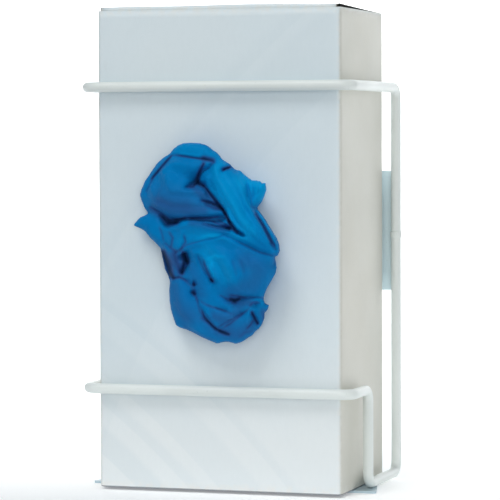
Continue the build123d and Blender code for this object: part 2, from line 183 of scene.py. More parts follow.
CREASES = {
    "crown_crease": [
        (-23.9, 47.6, 10), (-17.6, 46.9, 13.5), (-9.5, 45.8, 15), (-4.3, 45.2, 14), (-1.4, 43.9, 12)
    ],
    "left_crease": [(-23.9, 47.6, 8), (-28.8, 41.8, 8), (-34, 36.2, 8), (-37.8, 29.3, 8)],
    "pit_a": [(-2.1, 44.2, 13), (-4.3, 41.3, 12), (-8.8, 39.2, 10), (-11.4, 34.3, 7), (-16.2, 31.6, 15)],
    "pit_b": [
        (-11.4, 34.3, 7), (-7.3, 32.2, 10.5), (-4.4, 27.7, 14), (0.4, 22.5, 15.5), (4, 19, 13.5), (6.2,
        14.8, 13), (9.5, 10.5, 14), (12.8, 8.3, 17)
    ],
    "purple_band": [(-8.3, 24.7, 17.5), (-3, 23.5, 13.5), (2.9, 20.7, 11)],
    "under_puff": [
        (-35.7, 21.7, 9), (-30, 19, 10), (-25.2, 15, 7.5), (-20.4, 15.4, 10), (-15.5, 16.4, 15), (-8.9,
        15.4, 15.5), (-1.5, 15.1, 15.5), (3.8, 16.4, 14)
    ],
    "left_pit": [(-30, 18.1, 7), (-27.1, 13.1, 6), (-20.4, 14.7, 6)],
    "triangle": [(-7.4, 13.7, 18), (-0.8, 12, 15.5), (6.2, 10.8, 10)],
    "twist_crease": [
        (-22.3, -1.1, 14), (-16.3, 2.9, 18), (-7.5, 5.3, 21), (-1.6, 6.3, 22), (2.9, 7.7, 22.5), (7.3, 6.3,
        22.5), (14.6, 2.9, 20.5), (21.9, -0.5, 18.5), (28.4, -2, 16.5)
    ],
    "left_hollow": [(-29.6, 0.4, 2), (-27.5, -5.7, 2), (-25.2, -14.1, 3)],
    "deep_hollow": [(-19.3, -2.8, 8), (-16.7, -1.1, 6), (-15.6, -6.3, 6), (-19, -10.9, 7)],
    "dome_foot": [(-10.4, -3.1, 16), (-7.4, -9.7, 16), (-2.7, -15.4, 14)],
    "dome_bottom": [
        (1.3, -22.1, 17.5), (4.9, -23.9, 14.5), (7.9, -24.5, 12), (12.3, -23.2, 14), (16.7, -22.8, 15.5),
        (23.6, -22.9, 14)
    ],
    "nicks": [(-12.7, -15.7, 13), (-13.3, -20.3, 12), (-12, -22.7, 13)],
    "lower_left_crease": [
        (-24.6, -13.9, 9), (-19.4, -13.5, 13), (-14.2, -17.5, 13), (-11.6, -22.7, 14), (-9.8, -30.1, 15),
        (-6.9, -33.7, 14), (-1, -39.2, 13), (5.8, -41.1, 13)
    ],
    "soft_crease_a": [(-8.7, -25.5, 17), (-3.2, -28, 17), (4.2, -29.8, 16)],
    "soft_crease_b": [(0.5, -37.6, 14), (7.1, -34, 15), (12.6, -30.7, 14)],
    "crumple_pit": [(17.7, -31, 9), (20.6, -35.3, 8)],
    "crumple_nick": [(19.2, -26.1, 12), (22.1, -25.2, 13)],
    "cuff_crease": [(14.5, 36.6, 14), (17.1, 28.8, 16), (18.1, 21.9, 16), (20.8, 21.2, 12)],
    "hem_crease": [(19.4, 20.1, 13), (24.1, 12.7, 14), (27.7, 5.8, 15), (30.2, 1.1, 15)],
    "shoulder_dip": [(2.6, 39.7, 15), (6.3, 41.4, 13), (9, 41.1, 12)],
    "dome_hem": [(29.8, -2.3, 12), (29.5, -6.5, 10)],
}
# One film lying over another: route with the upper film on its left, step, reach, width of the gap under it
LAPS = [
    ([(-34.8, 21.8), (-29.6, 19.5), (-20.7, 16.1), (-10.4, 17), (2.9, 17.7)], 1.5, 6, 1.6),
    ([(-4.4, 37.1), (-0.7, 28.7), (4.4, 22.1), (6.2, 15.5), (10.2, 10.7), (15.3, 7.8)], 1.5, 6, 1.6),
    ([(-9.1, -2.8), (-7.6, -6.1), (-5.9, -9.5), (-2.6, -15.1), (-0.3, -17)], 1.4, 5, 2.0),
]
# Fine raised or sunk lines, which also lay painted highlight on raised lines and painted shade in sunk ones:
# route, height, half width
LINES = [
    ([(20, 20.7), (24.9, 13.6), (29.3, 4.7), (31.6, 0.3)], 0.5, 0.8),
    ([(-27.3, 11), (-21.2, 13.3), (-13.5, 14.8), (-1.4, 13.2), (10.1, 8.3), (19.4, 4)], 0.55, 0.9),
    ([(-7.6, -4.8), (-2.5, -3.3), (5.9, -2.5)], 0.4, 0.9),
    ([(-6.7, -5.6), (-4.1, -9.5), (-1.3, -14.3)], 0.5, 0.8),
    ([(16, -25.4), (20.4, -23.9), (24.5, -25.8)], 0.5, 0.9),
    ([(-8.5, -26.7), (-1.6, -35.9), (5.7, -40.1)], 0.4, 0.8),
    ([(-6.6, 33.1), (-0.3, 26.8), (4.9, 19.4), (10.1, 11.5)], 0.5, 0.9),
    ([(-22.8, 49), (-17, 48), (-6.5, 46.6)], 0.35, 0.8),
    ([(-24.2, 48.2), (-18.1, 47.1), (-12.3, 46.3), (-6.5, 45.6), (-2.1, 44.6)], -1.0, 0.5),
    ([(-24, 48), (-28.7, 43.2), (-34, 36.7), (-36.4, 32.7)], -0.8, 0.5),
    ([(2, 39.9), (4.5, 40.9), (7.3, 41.5)], -1.2, 0.6),
    ([(-10, 25.5), (-3.5, 24.1), (3.3, 20.6)], -1.2, 0.55),
    ([(-7.5, 23.5), (-2.4, 21.5), (2.8, 20.2)], -0.8, 0.5),
    ([(-8.9, 34.1), (-6.6, 31.8), (-2.4, 27.3), (2.6, 21.2), (5.1, 16.4), (10.1, 9.7)], -1.3, 0.5),
    ([(-18.2, 15.9), (-10.9, 16.3), (-4.6, 16.3), (4.4, 17.4)], -1.5, 0.5),
    ([(-5.1, 15.2), (0.7, 13.4), (8.5, 9.9)], -1.0, 0.5),
    ([(-1.2, 16.2), (3.8, 13.4), (9, 9.7)], -0.9, 0.5),
    ([(-16.6, 31.3), (-12.9, 31.9), (-10.6, 34.1), (-8.9, 36.4)], -1.2, 0.6),
    ([(14.5, 34.5), (15.6, 30.3), (15.8, 25.9)], -0.55, 0.8),
    ([(17.9, 35.1), (18.7, 30.3), (18.5, 25.4)], -0.5, 0.8),
    ([(21, 34.3), (21.4, 30.4), (20.5, 26.9)], -0.5, 0.7),
    ([(23.1, 33.5), (23.7, 30.4), (22.8, 27.9)], -0.4, 0.6),
    ([(-29.3, 4.6), (-25.2, 1.4), (-20.9, -1.3)], -0.8, 0.7),
    ([(-26.5, 10.4), (-23.8, 6.3), (-25.1, -0.2)], -0.8, 0.7),
    ([(-18.1, 9.1), (-17, 4.3), (-20.7, -1.1)], -0.9, 0.7),
    ([(-31.2, 13.2), (-29.4, 8.2), (-28.3, 3.2)], -0.6, 0.7),
    ([(-14.1, 4.3), (-4.6, 7.4), (5.9, 7), (16.3, 4.1)], 0.7, 1.2),
    ([(18.4, 20.7), (23.6, 12.6), (28.3, 3.2), (30.4, 0.2)], -1.0, 0.6),
    ([(-8.4, -3.6), (-5.9, -9.5), (-2.6, -15.1), (-0.7, -16.7)], -1.5, 0.6),
    ([(7.1, -3), (8.8, -8.4), (10, -13.8)], -0.35, 0.9),
    ([(11.3, -3.4), (13.1, -8.3), (14, -12.3)], -0.3, 0.9),
    ([(0.6, -1.5), (-3.6, -4.5), (-2.6, -9.5)], 0.5, 1.1),
    ([(4.9, -21.8), (10, -22.2), (15.4, -23.2)], -1.0, 0.5),
    ([(-13.5, -16), (-12.5, -16.7), (-11.6, -17.8)], -2.0, 0.8),
    ([(-14, -20.2), (-12.9, -21.2), (-11.9, -22.6)], -2.0, 0.8),
    ([(-4.3, -13.7), (-3, -14.7), (-2, -15.5)], -1.6, 0.7),
    ([(-12.1, -17.8), (-11.9, -22.6), (-10, -26.8)], -0.6, 0.5),
    ([(-10, -26.8), (-6.9, -33.5), (-1.6, -38.4), (5.1, -41.7)], -1.4, 0.55),
    ([(0, -39.8), (5.7, -36.5), (12, -31.8), (18.3, -26.7)], -0.8, 0.55),
    ([(-9.8, -26.4), (-1.6, -28.2), (9.9, -32.2)], -0.5, 0.5),
    ([(-25, -14), (-20.3, -13.3), (-14.2, -16)], -0.8, 0.6),
    ([(-21.5, -35.6), (-14.3, -40), (-6.9, -43.5), (1.1, -45.5)], -0.45, 0.8),
    ([(14.1, -39.3), (17, -36.3), (19.3, -32.9)], -0.8, 0.6),
    ([(15.6, -27.8), (18.3, -25.3), (22, -24.7)], -0.8, 0.6),
    ([(9.9, -43.7), (14.1, -40.3), (19.8, -39.4)], -0.5, 0.7),
]
# Painted shade on the film where the strength is above zero, painted highlight where it is below: route of
# (across, up, half width), and how strongly
PAINTED_SHADE_AND_HIGHLIGHT = [
    ([(0.1, 42, 5), (5.2, 32.2, 6), (10.2, 21.1, 6), (16.1, 11.4, 5)], -0.45),
    ([(15.4, 35.7, 4.5), (20.5, 32.3, 5), (23, 28.8, 4.5)], -1.0),
    ([(-20.6, 51.8, 4), (-10.2, 51, 4), (-2.9, 46.8, 3)], -0.25),
    ([(-5.3, -1.3, 5), (1.3, -8.2, 6), (5.7, -13.8, 5)], -0.35),
    ([(-20.8, 4.2, 2), (-13.3, 8.4, 3), (-1.5, 8.5, 3)], -0.2),
    ([(-31.1, 23.7, 3.5), (-24.4, 21, 4), (-15.5, 20.4, 4), (-7.4, 20.3, 3)], 0.42),
    ([(-30.3, 27.2, 6), (-17, 24.5, 6)], 0.25),
    ([(-13.2, 32.2, 1.8), (-7.4, 27.3, 3), (-0.8, 21.8, 3)], 0.4),
    ([(-14.1, 14.4, 2), (-7.4, 13.7, 2.5), (-0.8, 12, 2.5), (5.1, 11.3, 2)], 0.4),
    ([(-35.2, 20.7, 1.6), (-30.4, 17.7, 1.8)], 0.5),
    ([(-28.8, 16.7, 1.3), (-25.5, 14.2, 2.2), (-22, 14.1, 1.6)], 0.93),
    ([(-22, 15.1, 1), (-17.2, 16.3, 0.7)], 0.8),
    ([(-7.3, 43.4, 1), (-9.9, 38.5, 1), (-11, 34.3, 1.2), (-7.3, 32.2, 1)], 0.85),
    ([(-5.9, 30.8, 0.6), (-1.5, 25.2, 0.7), (3.8, 19.3, 0.8), (6.6, 12.7, 0.8), (10.2, 8.9, 0.7)], 0.8),
    ([(-28.7, -1, 1.6), (-26.8, -5.8, 2.6), (-25.2, -11, 2.2), (-23.5, -13.6, 1.2)], 0.97),
    ([(-23, -1.9, 2.6), (-21.3, -6.5, 2.8), (-20.1, -10.9, 2.2)], 0.66),
    ([(-18.5, -0.9, 1), (-17.9, -5.7, 1.2), (-18.8, -11.3, 1)], 0.85),
    ([(-17.5, -1.8, 1), (-16.4, -5.3, 1.6)], 1.0),
    ([(14.5, -4.6, 5), (21.8, -9.4, 6), (17.4, -16.4, 6), (7.2, -19.3, 5)], 0.28),
    ([(-14.2, -7, 3), (-12, -14.7, 4.5), (-9, -22.3, 4)], 0.2),
    ([(-12.1, -32.9, 4.5), (-6.9, -34.9, 5), (-4.7, -39.1, 4)], 0.18),
    ([(-23.9, -18.3, 4), (-20.9, -27.4, 5), (-17.2, -33, 5)], 0.32),
    ([(5.7, -24.2, 2), (11.5, -25.9, 2.5), (17.4, -25.1, 2)], 0.4),
    ([(6.8, -23.9, 1), (8.7, -24.6, 1.5), (11.2, -23.5, 0.8)], 0.93),
    ([(17.7, -30.3, 0.8), (20.6, -35.8, 0.8)], 0.9),
    ([(23.6, -30.2, 2), (24.6, -35.8, 2)], 0.5),
    ([(1.2, -40.4, 4), (10, -41.6, 4), (17.3, -37.3, 4)], 0.38),
    ([(-1.7, -32.7, 3), (5.6, -34, 4), (10.1, -30.4, 3)], 0.36),
    ([(-7.3, 46.2, 1.5), (-2.5, 45.1, 2)], 0.8),
    ([(-24.3, 47.2, 0.6), (-30.3, 40.9, 0.7), (-34.8, 36, 0.7)], 0.6),
    ([(19.7, 18.4, 0.8), (24.8, 11.5, 0.8), (29.5, 3.2, 0.8)], 0.55),
    ([(3, 40.9, 1.2), (6.3, 41.8, 1)], 0.7),
    ([(0.9, -40, 0.8), (3.4, -40.7, 1.2), (5.5, -41.5, 0.8)], 0.85),
    ([(-8.7, -33.6, 0.8), (-1, -39, 0.9)], 0.45),
]
FOLD_ROUND = 2.0  # a higher power gives fuller folds with tighter creases
FOLD_BLUR = 1.3  # spread over which the folds run into each other
CREASE_LIFT = 0.18  # share of its depth by which each crease is filled
THINNEST = 3.0  # least depth of the film
EDGE_TURN = 3.2  # how far from its edge the film starts to turn back
RIM_SHARE = 0.6  # depth of the edge as a share of the film beside it
UNDERCUT = 6.0  # how far in from the edge the underside meets the carton
BACK_GAP = 0.8  # from the front panel to the underside


def tint(name, description, default):
    """A colour that the user can set."""
    return FloatVectorProperty(
        name=name, description=description, subtype="COLOR", size=3, min=0, max=1, default=default,
    )


def number(name, description, low, high, default, kind="NONE"):
    """A number that the user can set, between two limits."""
    return FloatProperty(
        name=name, description=description, subtype=kind, min=low, max=high, default=default,
    )


class StageSettings(PropertyGroup):
    floor_tint: tint(
        "Floor colour", "Colour of the floor and of the sweep behind the holder", (0.93, 0.935, 0.94),
    )
    floor_glow: number(
        "Floor glow",
        "How much light the floor gives of itself behind the holder, as a lit table does", 0, 2, 0.80,
    )
    sky_strength: number("Surrounding light", "Strength of the even light from all round", 0, 4, 0.27)
    key_power: number(
        "Main light", "Power of the large soft light above the left of the front", 0, 500, 53.0, "POWER",
    )
    key_size: number(
        "Main light size",
        "Width of the main light; a larger one gives softer shadows", 0.1, 4, 1.5, "DISTANCE",
    )
    front_power: number(
        "Front light",
        "Power of the soft light in front, on the right, which fills the shadows", 0, 500, 17.0, "POWER",
    )
    fill_power: number("Side light", "Power of the warm light on the right", 0, 500, 1.8, "POWER")


class CoatingSettings(PropertyGroup):
    colour: tint(
        "Coating colour", "Colour of the powder coating on the wire and the plates", (0.82, 0.865, 0.845),
    )
    roughness: number("Coating roughness", "Roughness of the powder coating", 0, 1, 0.36, "FACTOR")
    peel: number("Orange peel", "Size of the soft ripples in the coating", 0.0002, 0.01, 0.0013, "DISTANCE")


class CartonSettings(PropertyGroup):
    board: number("Board", "Thickness of the paperboard", 0.0002, 0.003, 0.0005, "DISTANCE")
    fold_radius: number(
        "Fold radius", "Outside radius of the upright folds", 0.0005, 0.01, 0.0024, "DISTANCE",
    )
    bulge: number("Bulge", "How far the gloves inside push the panels out", 0, 0.003, 0.0005, "DISTANCE")
    cell: number("Cell", "Spacing of the cuts that let the panels curve", 0.001, 0.02, 0.004, "DISTANCE")
    colour: tint("Board colour", "Colour of the coated white side", (0.755, 0.835, 0.87))
    # Painted light: a warmer, duller white on the side panels stands in for the warm light falling on them,
    # not the board's own colour
    painted_side_light_colour: tint("Side panel colour", "Warmer white of the side panels", (0.68, 0.665, 0.595))
    band_colour: tint("Band colour", "Colour of the faint printed bands", (0.60, 0.71, 0.77))


class GloveSettings(PropertyGroup):
    cell: number(
        "Cell", "Spacing of the net that the film is folded from", 0.0002, 0.003, 0.0005, "DISTANCE",
    )
    colour: tint("Film colour", "Colour of the glove film where light falls on it", (0.0, 0.205, 0.525))
    # Painted highlight: a paler film colour laid where the film catches more light
    painted_highlight_colour: tint(
        "Stretched film colour", "Paler colour of the film where it is pulled thin", (0.0, 0.31, 0.68),
    )
    # Painted shade: this darker violet stands in for the shade in the film's folds
    painted_shade_colour: tint(
        "Shaded film colour",
        "Colour of the film where it lies double and turned from the light", (0.022, 0.085, 0.275),
    )
    # Painted shade: this near black stands in for the shadow deep in the creases
    painted_crease_tone: tint("Crease colour", "Colour of the film deep in a crease", (0.004, 0.020, 0.066))
    roughness: number("Film roughness", "Roughness of the film", 0, 1, 0.46, "FACTOR")
    stack_layers: IntProperty(
        name="Layers left",
        description="Folded layers of gloves left in the carton",
        min=2, max=40, default=8,
    )


def new_object(name, mesh):
    """An object at the origin, in the scene, with its place in its mesh."""
    piece = bpy.data.objects.new(name, mesh)
    bpy.context.scene.collection.objects.link(piece)
    return piece


def to_object(bm, name, smooth=True):
    """Turns a finished bmesh into an object."""
    mesh = bpy.data.meshes.new(name)
    bm.to_mesh(mesh)
    bm.free()
    shade_smooth(mesh, smooth)
    return new_object(name, mesh)


def shade_smooth(mesh, smooth=True):
    """Sets every face to smooth or flat shading."""
    for polygon in mesh.polygons:
        polygon.use_smooth = smooth


def of_kind(parts, kind):
    """Those parts of a step's result that are of one kind."""
    return [part for part in parts if isinstance(part, kind)]


def cut(bm, axis, at):
    """Cuts the whole mesh across an axis, so that it can bend there."""
    place, normal = [0, 0, 0], [0, 0, 0]
    place[axis], normal[axis] = at, 1
    geom = bm.verts[:] + bm.edges[:] + bm.faces[:]
    bmesh.ops.bisect_plane(bm, geom=geom, plane_co=place, plane_no=normal)


def cut_evenly(bm, axis, low, high, count):
    """Cuts the mesh into equal slices between two places on an axis."""
    for i in range(1, count):
        cut(bm, axis, low + (high - low) * i / count)


def store(mesh, name, values):
    """Keeps one number for each vertex, for the piece's material."""
    mesh.attributes.new(name, "FLOAT", "POINT").data.foreach_set("value", values.astype(np.float32))


def positions(mesh):
    """The vertex places of a mesh, one row each."""
    flat = np.empty(len(mesh.vertices) * 3)
    mesh.vertices.foreach_get("co", flat)
    return flat.reshape(-1, 3)


def set_positions(mesh, places):
    """Moves the vertices of a mesh."""
    mesh.vertices.foreach_set("co", places.astype(np.float32).ravel())
    mesh.update()


def apply_modifiers(piece):
    """Makes the modifiers of a piece part of its mesh."""
    graph = bpy.context.evaluated_depsgraph_get()
    mesh = bpy.data.meshes.new_from_object(piece.evaluated_get(graph))
    piece.modifiers.clear()
    piece.data = mesh


def ripple(places, lengths, seed):
    """Smooth, seeded waves of several directions over points, about -1 to 1."""
    chance = np.random.default_rng(seed)
    total = np.zeros(len(places))
    for length in lengths:
        for _ in range(5):
            way = chance.normal(size=3)
            way /= np.linalg.norm(way)
            total += np.sin(places @ way * (2 * math.pi / length) + chance.uniform(0, 6.283))
    return total / (2.2 * len(lengths) ** 0.5)


class Nodes:
    """A small helper that adds and links the nodes of one material."""

    def __init__(self, name):
        self.material = bpy.data.materials.new(name)
        self.material.use_nodes = True
        self.tree = self.material.node_tree
        self.shader = self.tree.nodes["Principled BSDF"]
        self.place = self.add("ShaderNodeTexCoord").outputs["Object"]

    def add(self, kind, **values):
        node = self.tree.nodes.new(kind)
        for name, value in values.items():
            if hasattr(node, name):
                setattr(node, name, value)
            else:
                node.inputs[name.replace("_", " ").title()].default_value = value
        return node

    def link(self, source, target):
        self.tree.links.new(source, target)

    def mapped(self, scale=(1, 1, 1), turn=(0, 0, 0), shift=(0, 0, 0)):
        """Object coordinates, scaled and turned."""
        node = self.add("ShaderNodeMapping")
        node.inputs["Scale"].default_value = scale
        node.inputs["Rotation"].default_value = turn
        node.inputs["Location"].default_value = shift
        self.link(self.place, node.inputs["Vector"])
        return node.outputs["Vector"]

    def noise(self, size, detail=2.0, roughness=0.5, where=None, distortion=0.0):
        """Noise whose largest features are about size metres across."""
        node = self.add("ShaderNodeTexNoise")
        node.inputs["Scale"].default_value = 1 / size
        node.inputs["Detail"].default_value = detail
        node.inputs["Roughness"].default_value = roughness
        node.inputs["Distortion"].default_value = distortion
        self.link(where or self.place, node.inputs["Vector"])
        return node.outputs["Fac"]

    def spread(self, value, low, high, to_low=0.0, to_high=1.0, smooth=True):
        """Maps a value from one range to another, held at its ends."""
        node = self.add("ShaderNodeMapRange")
        node.interpolation_type = "SMOOTHSTEP" if smooth else "LINEAR"
        for name, number in (("From Min", low), ("From Max", high), ("To Min", to_low), ("To Max", to_high)):
            node.inputs[name].default_value = number
        self.link(value, node.inputs["Value"])
        return node.outputs["Result"]

    def sum(self, operation, first, second):
        """One step of arithmetic between values or numbers."""
        node = self.add("ShaderNodeMath")
        node.operation = operation
        for socket, value in zip(node.inputs, (first, second)):
            if isinstance(value, (int, float)):
                socket.default_value = value
            else:
                self.link(value, socket)
        return node.outputs["Value"]

    def mix(self, factor, first, second, blend="MIX"):
        """A mix of two colours by a factor."""
        node = self.add("ShaderNodeMix")
        node.data_type = "RGBA"
        node.blend_type = blend
        for socket, value in ((node.inputs[0], factor), (node.inputs[6], first), (node.inputs[7], second)):
            if isinstance(value, (int, float)):
                socket.default_value = value
            elif isinstance(value, (tuple, list)):
                socket.default_value = (*value, 1.0)
            else:
                self.link(value, socket)
        return node.outputs[2]

    def lay(self, tone, value, low, high, strength, colour):
        """The tone with a colour laid over it, more so as a value goes from low to high."""
        return self.mix(self.spread(value, low, high, 0.0, strength), tone, colour)

    def times(self, first, second):
        """The product of two values."""
        return self.sum("MULTIPLY", first, second)

    def filtered(self, tone, colour):
        """The tone as seen through a coloured film."""
        return self.mix(1.0, tone, colour, "MULTIPLY")

    def attribute(self, name):
        """A value stored on the piece's own mesh."""
        node = self.add("ShaderNodeAttribute")
        node.attribute_name = name
        return node.outputs["Fac"]

    def parts(self):
        """Object coordinates as three values."""
        node = self.add("ShaderNodeSeparateXYZ")
        self.link(self.place, node.inputs[0])
        return node.outputs

    def bump(self, height, distance, strength=1.0, under=None):
        """Raises the surface by a height value, on top of another bump."""
        node = self.add("ShaderNodeBump")
        node.inputs["Strength"].default_value = strength
        node.inputs["Distance"].default_value = distance
        self.link(height, node.inputs["Height"])
        if under is not None:
            self.link(under, node.inputs["Normal"])
        return node.outputs["Normal"]

    def set(self, **values):
        """Sets or links the shader's own sockets."""
        for name, value in values.items():
            socket = self.shader.inputs[name.replace("_", " ")]
            if isinstance(value, (int, float)):
                socket.default_value = value
            elif isinstance(value, (tuple, list)):
                socket.default_value = (*value, 1.0) if len(value) == 3 else value
            else:
                self.link(value, socket)


def coating_material(settings, name, painted_light_shade_cast):
    """Satin powder coating with orange peel, thin spots and handling marks."""
    nodes = Nodes(name)
    # The cast tints a copy of the same coating: painted light where it is brighter, painted shade where it is
    # darker and bluer
    base = tuple(c * t for c, t in zip(settings.colour, painted_light_shade_cast))
    darker = tuple(c * 0.93 for c in base)
    warmer = (base[0] * 0.97, base[1] * 0.95, base[2] * 0.88)
    cloud = nodes.noise(0.06, 3.0)
    tone = nodes.mix(nodes.spread(cloud, 0.35, 0.7), base, darker)
    rub = nodes.noise(0.012, 5.0, 0.65)
    tone = nodes.lay(tone, rub, 0.62, 0.80, 0.5, warmer)
    fleck = nodes.noise(0.0011, 1.0)
    tone = nodes.lay(tone, fleck, 0.70, 0.80, 0.18, (0.35, 0.38, 0.38))
    peel = nodes.noise(settings.peel, 1.0)
    grain = nodes.noise(0.00035, 1.0)
    normal = nodes.bump(peel, 0.00012, 0.55)
    normal = nodes.bump(grain, 0.00002, 0.5, normal)
    matt = settings.roughness
    rough = nodes.spread(nodes.noise(0.02, 4.0, 0.6), 0.3, 0.75, matt - 0.06, matt + 0.12)
    nodes.set(Base_Color=tone, Roughness=rough, Normal=normal, Coat_Weight=0.12, Coat_Roughness=0.25)
    return nodes.material


def board_material(settings):
    """Clay-coated white board: cooler front, faint printed bands, rubbed folds. Painted light makes the sides
    warmer and the foot of the front paler; painted shade darkens a thin line along the bottom.
    """
    nodes = Nodes("carton_board")
    x, y, z = nodes.parts()
    geometry = nodes.add("ShaderNodeNewGeometry")
    facing = nodes.add("ShaderNodeSeparateXYZ")
    nodes.link(geometry.outputs["Normal"], facing.inputs[0])
    # Painted light: faces turned sideways take the warmer side colour, for the warm light on the sides
    sideways = nodes.spread(nodes.sum("ABSOLUTE", facing.outputs[0], 0.0), 0.45, 0.95)
    tone = nodes.mix(sideways, tuple(settings.colour), tuple(settings.painted_side_light_colour))
    cloud = nodes.noise(0.09, 3.0, 0.55)
    tone = nodes.lay(tone, cloud, 0.3, 0.7, 0.35, nodes.filtered(tone, (0.93, 0.965, 1.0)))
    fibre = nodes.noise(0.0014, 3.0, 0.6, nodes.mapped((1.0, 1.0, 0.35)))
    tone = nodes.lay(tone, fibre, 0.3, 0.75, 0.22, nodes.filtered(tone, (0.93, 0.94, 0.94)))
    front = nodes.spread(nodes.times(facing.outputs[1], -1.0), 0.6, 0.95)
    low_bands = ((0.372, 0.010, 0.34), (0.392, 0.004, 0.26), (0.404, 0.016, 0.22), (0.432, 0.003, 0.2))
    high_bands = ((0.425, 0.030, 0.13), (0.462, 0.004, 0.12))
    for centre_x, centre_z, bands, edge, tail in (
        (-0.30, FLOOR - 0.27, low_bands, 0.0012, 0.004),
        (0.34, PANEL_TOP - 0.36, high_bands, 0.0015, 0.006),
    ):
        off_x = nodes.sum("SUBTRACT", x, centre_x)
        off_z = nodes.sum("SUBTRACT", z, centre_z)
        square = nodes.sum("ADD", nodes.times(off_x, off_x), nodes.times(off_z, off_z))
        radius = nodes.sum("SQRT", square, 0.0)
        for start, width, strength in bands:
            rise = nodes.spread(radius, start, start + edge)
            fall = nodes.spread(radius, start + width, start + width + tail, 1.0, 0.0)
            band = nodes.times(nodes.times(rise, fall), front)
            tone = nodes.mix(nodes.times(band, strength), tone, tuple(settings.band_colour))
    wear = nodes.attribute("fold_wear")
    rubbed = nodes.times(wear, nodes.spread(nodes.noise(0.004, 4.0, 0.7), 0.38, 0.62))
    tone = nodes.mix(nodes.times(rubbed, 0.55), tone, (0.80, 0.80, 0.765))
    # Painted light: the front is paler and warmer towards the bottom, standing in for light bounced up from
    # the floor
    low = nodes.times(nodes.spread(z, FLOOR + 0.02, FLOOR + 0.09, 1.0, 0.0), front)
    tone = nodes.mix(low, tone, nodes.filtered(tone, (1.08, 1.02, 0.985)))
    # Painted shade: a thin dark line along the bottom of the board, standing in for the contact shadow over
    # the base plate
    foot = nodes.spread(z, FLOOR + 0.0004, FLOOR + 0.0010, 0.8, 0.0)
    tone = nodes.mix(foot, tone, (0.09, 0.10, 0.13))
    mark = nodes.noise(0.018, 6.0, 0.7, nodes.mapped((1, 1, 0.5)))
    tone = nodes.lay(tone, mark, 0.66, 0.80, 0.20, (0.62, 0.64, 0.63))
    normal = nodes.bump(nodes.noise(0.03, 2.0), 0.0012, 0.16)
    normal = nodes.bump(fibre, 0.00006, 0.35, normal)
    rough = nodes.spread(nodes.noise(0.03, 5.0, 0.6), 0.3, 0.8, 0.42, 0.60)
    nodes.set(Base_Color=tone, Roughness=rough, Normal=normal, Specular_IOR_Level=0.42)
    return nodes.material


def raw_board_material():
    """The cut edge and the inside of the board: pale grey-brown fibre."""
    nodes = Nodes("raw_board")
    fibre = nodes.noise(0.0009, 5.0, 0.7, nodes.mapped((1.0, 1.0, 3.0)))
    speck = nodes.noise(0.003, 3.0, 0.6)
    tone = nodes.mix(nodes.spread(fibre, 0.3, 0.7), (0.50, 0.47, 0.41), (0.66, 0.63, 0.56))
    tone = nodes.lay(tone, speck, 0.6, 0.75, 0.35, (0.36, 0.33, 0.28))
    nodes.set(Base_Color=tone, Roughness=0.88, Normal=nodes.bump(fibre, 0.00012, 0.7))
    return nodes.material


def shaded_board_material():
    """Painted shade: board coloured almost black, standing in for the dark under the sides of the lid, with a
    little fibre.
    """
    nodes = Nodes("shaded_board")
    fibre = nodes.noise(0.0012, 4.0, 0.7)
    tone = nodes.mix(nodes.spread(fibre, 0.3, 0.7), (0.006, 0.006, 0.006), (0.022, 0.021, 0.019))
    rough = nodes.spread(nodes.noise(0.006, 3.0), 0.3, 0.7, 0.85, 0.97)
    nodes.set(Base_Color=tone, Roughness=rough, Normal=nodes.bump(fibre, 0.0001, 0.6), Specular_IOR_Level=0.1)
    return nodes.material


def film_material(settings, name="nitrile_film", stored=True):
    """Matt nitrile film: bright where it faces the light, with painted shade (violet, then near black) in its
    folds and creases and painted highlights on its lit parts.
    """
    nodes = Nodes(name)
    bright = tuple(settings.colour)
    deep = (0.002, 0.135, 0.41)
    cloud = nodes.noise(0.014, 3.0, 0.55)
    tone = nodes.lay(bright, cloud, 0.35, 0.68, 0.30, deep)
    # Painted light from the stored attribute: the highlight colour below zero, the shaded colour up to 0.65,
    # the crease shade from 0.6 to 1
    if stored:
        shade = nodes.attribute("painted_fold_light")
        for low, high, colour in (
            (0.0, -0.6, settings.painted_highlight_colour),
            (0.0, 0.65, settings.painted_shade_colour),
            (0.6, 1.0, settings.painted_crease_tone),
        ):
            tone = nodes.mix(nodes.spread(shade, low, high, smooth=False), tone, tuple(colour))
    dust = nodes.noise(0.0009, 4.0, 0.7)
    tone = nodes.lay(tone, dust, 0.55, 0.8, 0.16, (0.05, 0.24, 0.52))
    swell = nodes.noise(0.009, 2.0, 0.5, distortion=0.8)
    fold = nodes.sum("ABSOLUTE", nodes.sum("SUBTRACT", swell, 0.5), 0.0)
    pull = nodes.noise(0.0035, 3.0, 0.55, nodes.mapped((1.0, 1.0, 0.45), (0.0, 0.6, 0.0)), 0.6)
    skin = nodes.noise(0.0006, 2.0, 0.6)
    normal = nodes.bump(nodes.spread(fold, 0.0, 0.05), 0.0003, 0.30)
    normal = nodes.bump(pull, 0.0006, 0.30, normal)
    normal = nodes.bump(skin, 0.00006, 0.45, normal)
    matt = settings.roughness
    rough = nodes.spread(nodes.noise(0.006, 4.0, 0.6), 0.3, 0.75, matt - 0.05, matt + 0.12)
    nodes.set(Base_Color=tone, Roughness=rough, Normal=normal, Specular_IOR_Level=0.03)
    return nodes.material


def stage_material(settings):
    """Matt paint of the floor sweep, with a very slight mottle, darker towards the front, glowing behind and
    under the holder.
    """
    nodes = Nodes("studio_floor")
    base = tuple(settings.floor_tint)
    back = nodes.parts()[1]
    tone = nodes.lay(base, nodes.noise(0.4, 2.0), 0.3, 0.7, 0.3, tuple(c * 0.985 for c in base))
    tone = nodes.lay(tone, back, -0.12, -0.5, 1.0, tuple(c * 0.5 for c in base))
    # Painted light: the floor glows of itself behind and under the holder, and lights it from below
    glow = nodes.spread(back, -0.30, 0.3, 0.0, settings.floor_glow)
    nodes.set(Base_Color=tone, Roughness=0.9, Emission_Color=base, Emission_Strength=glow)
    return nodes.material


# Places on the front plane

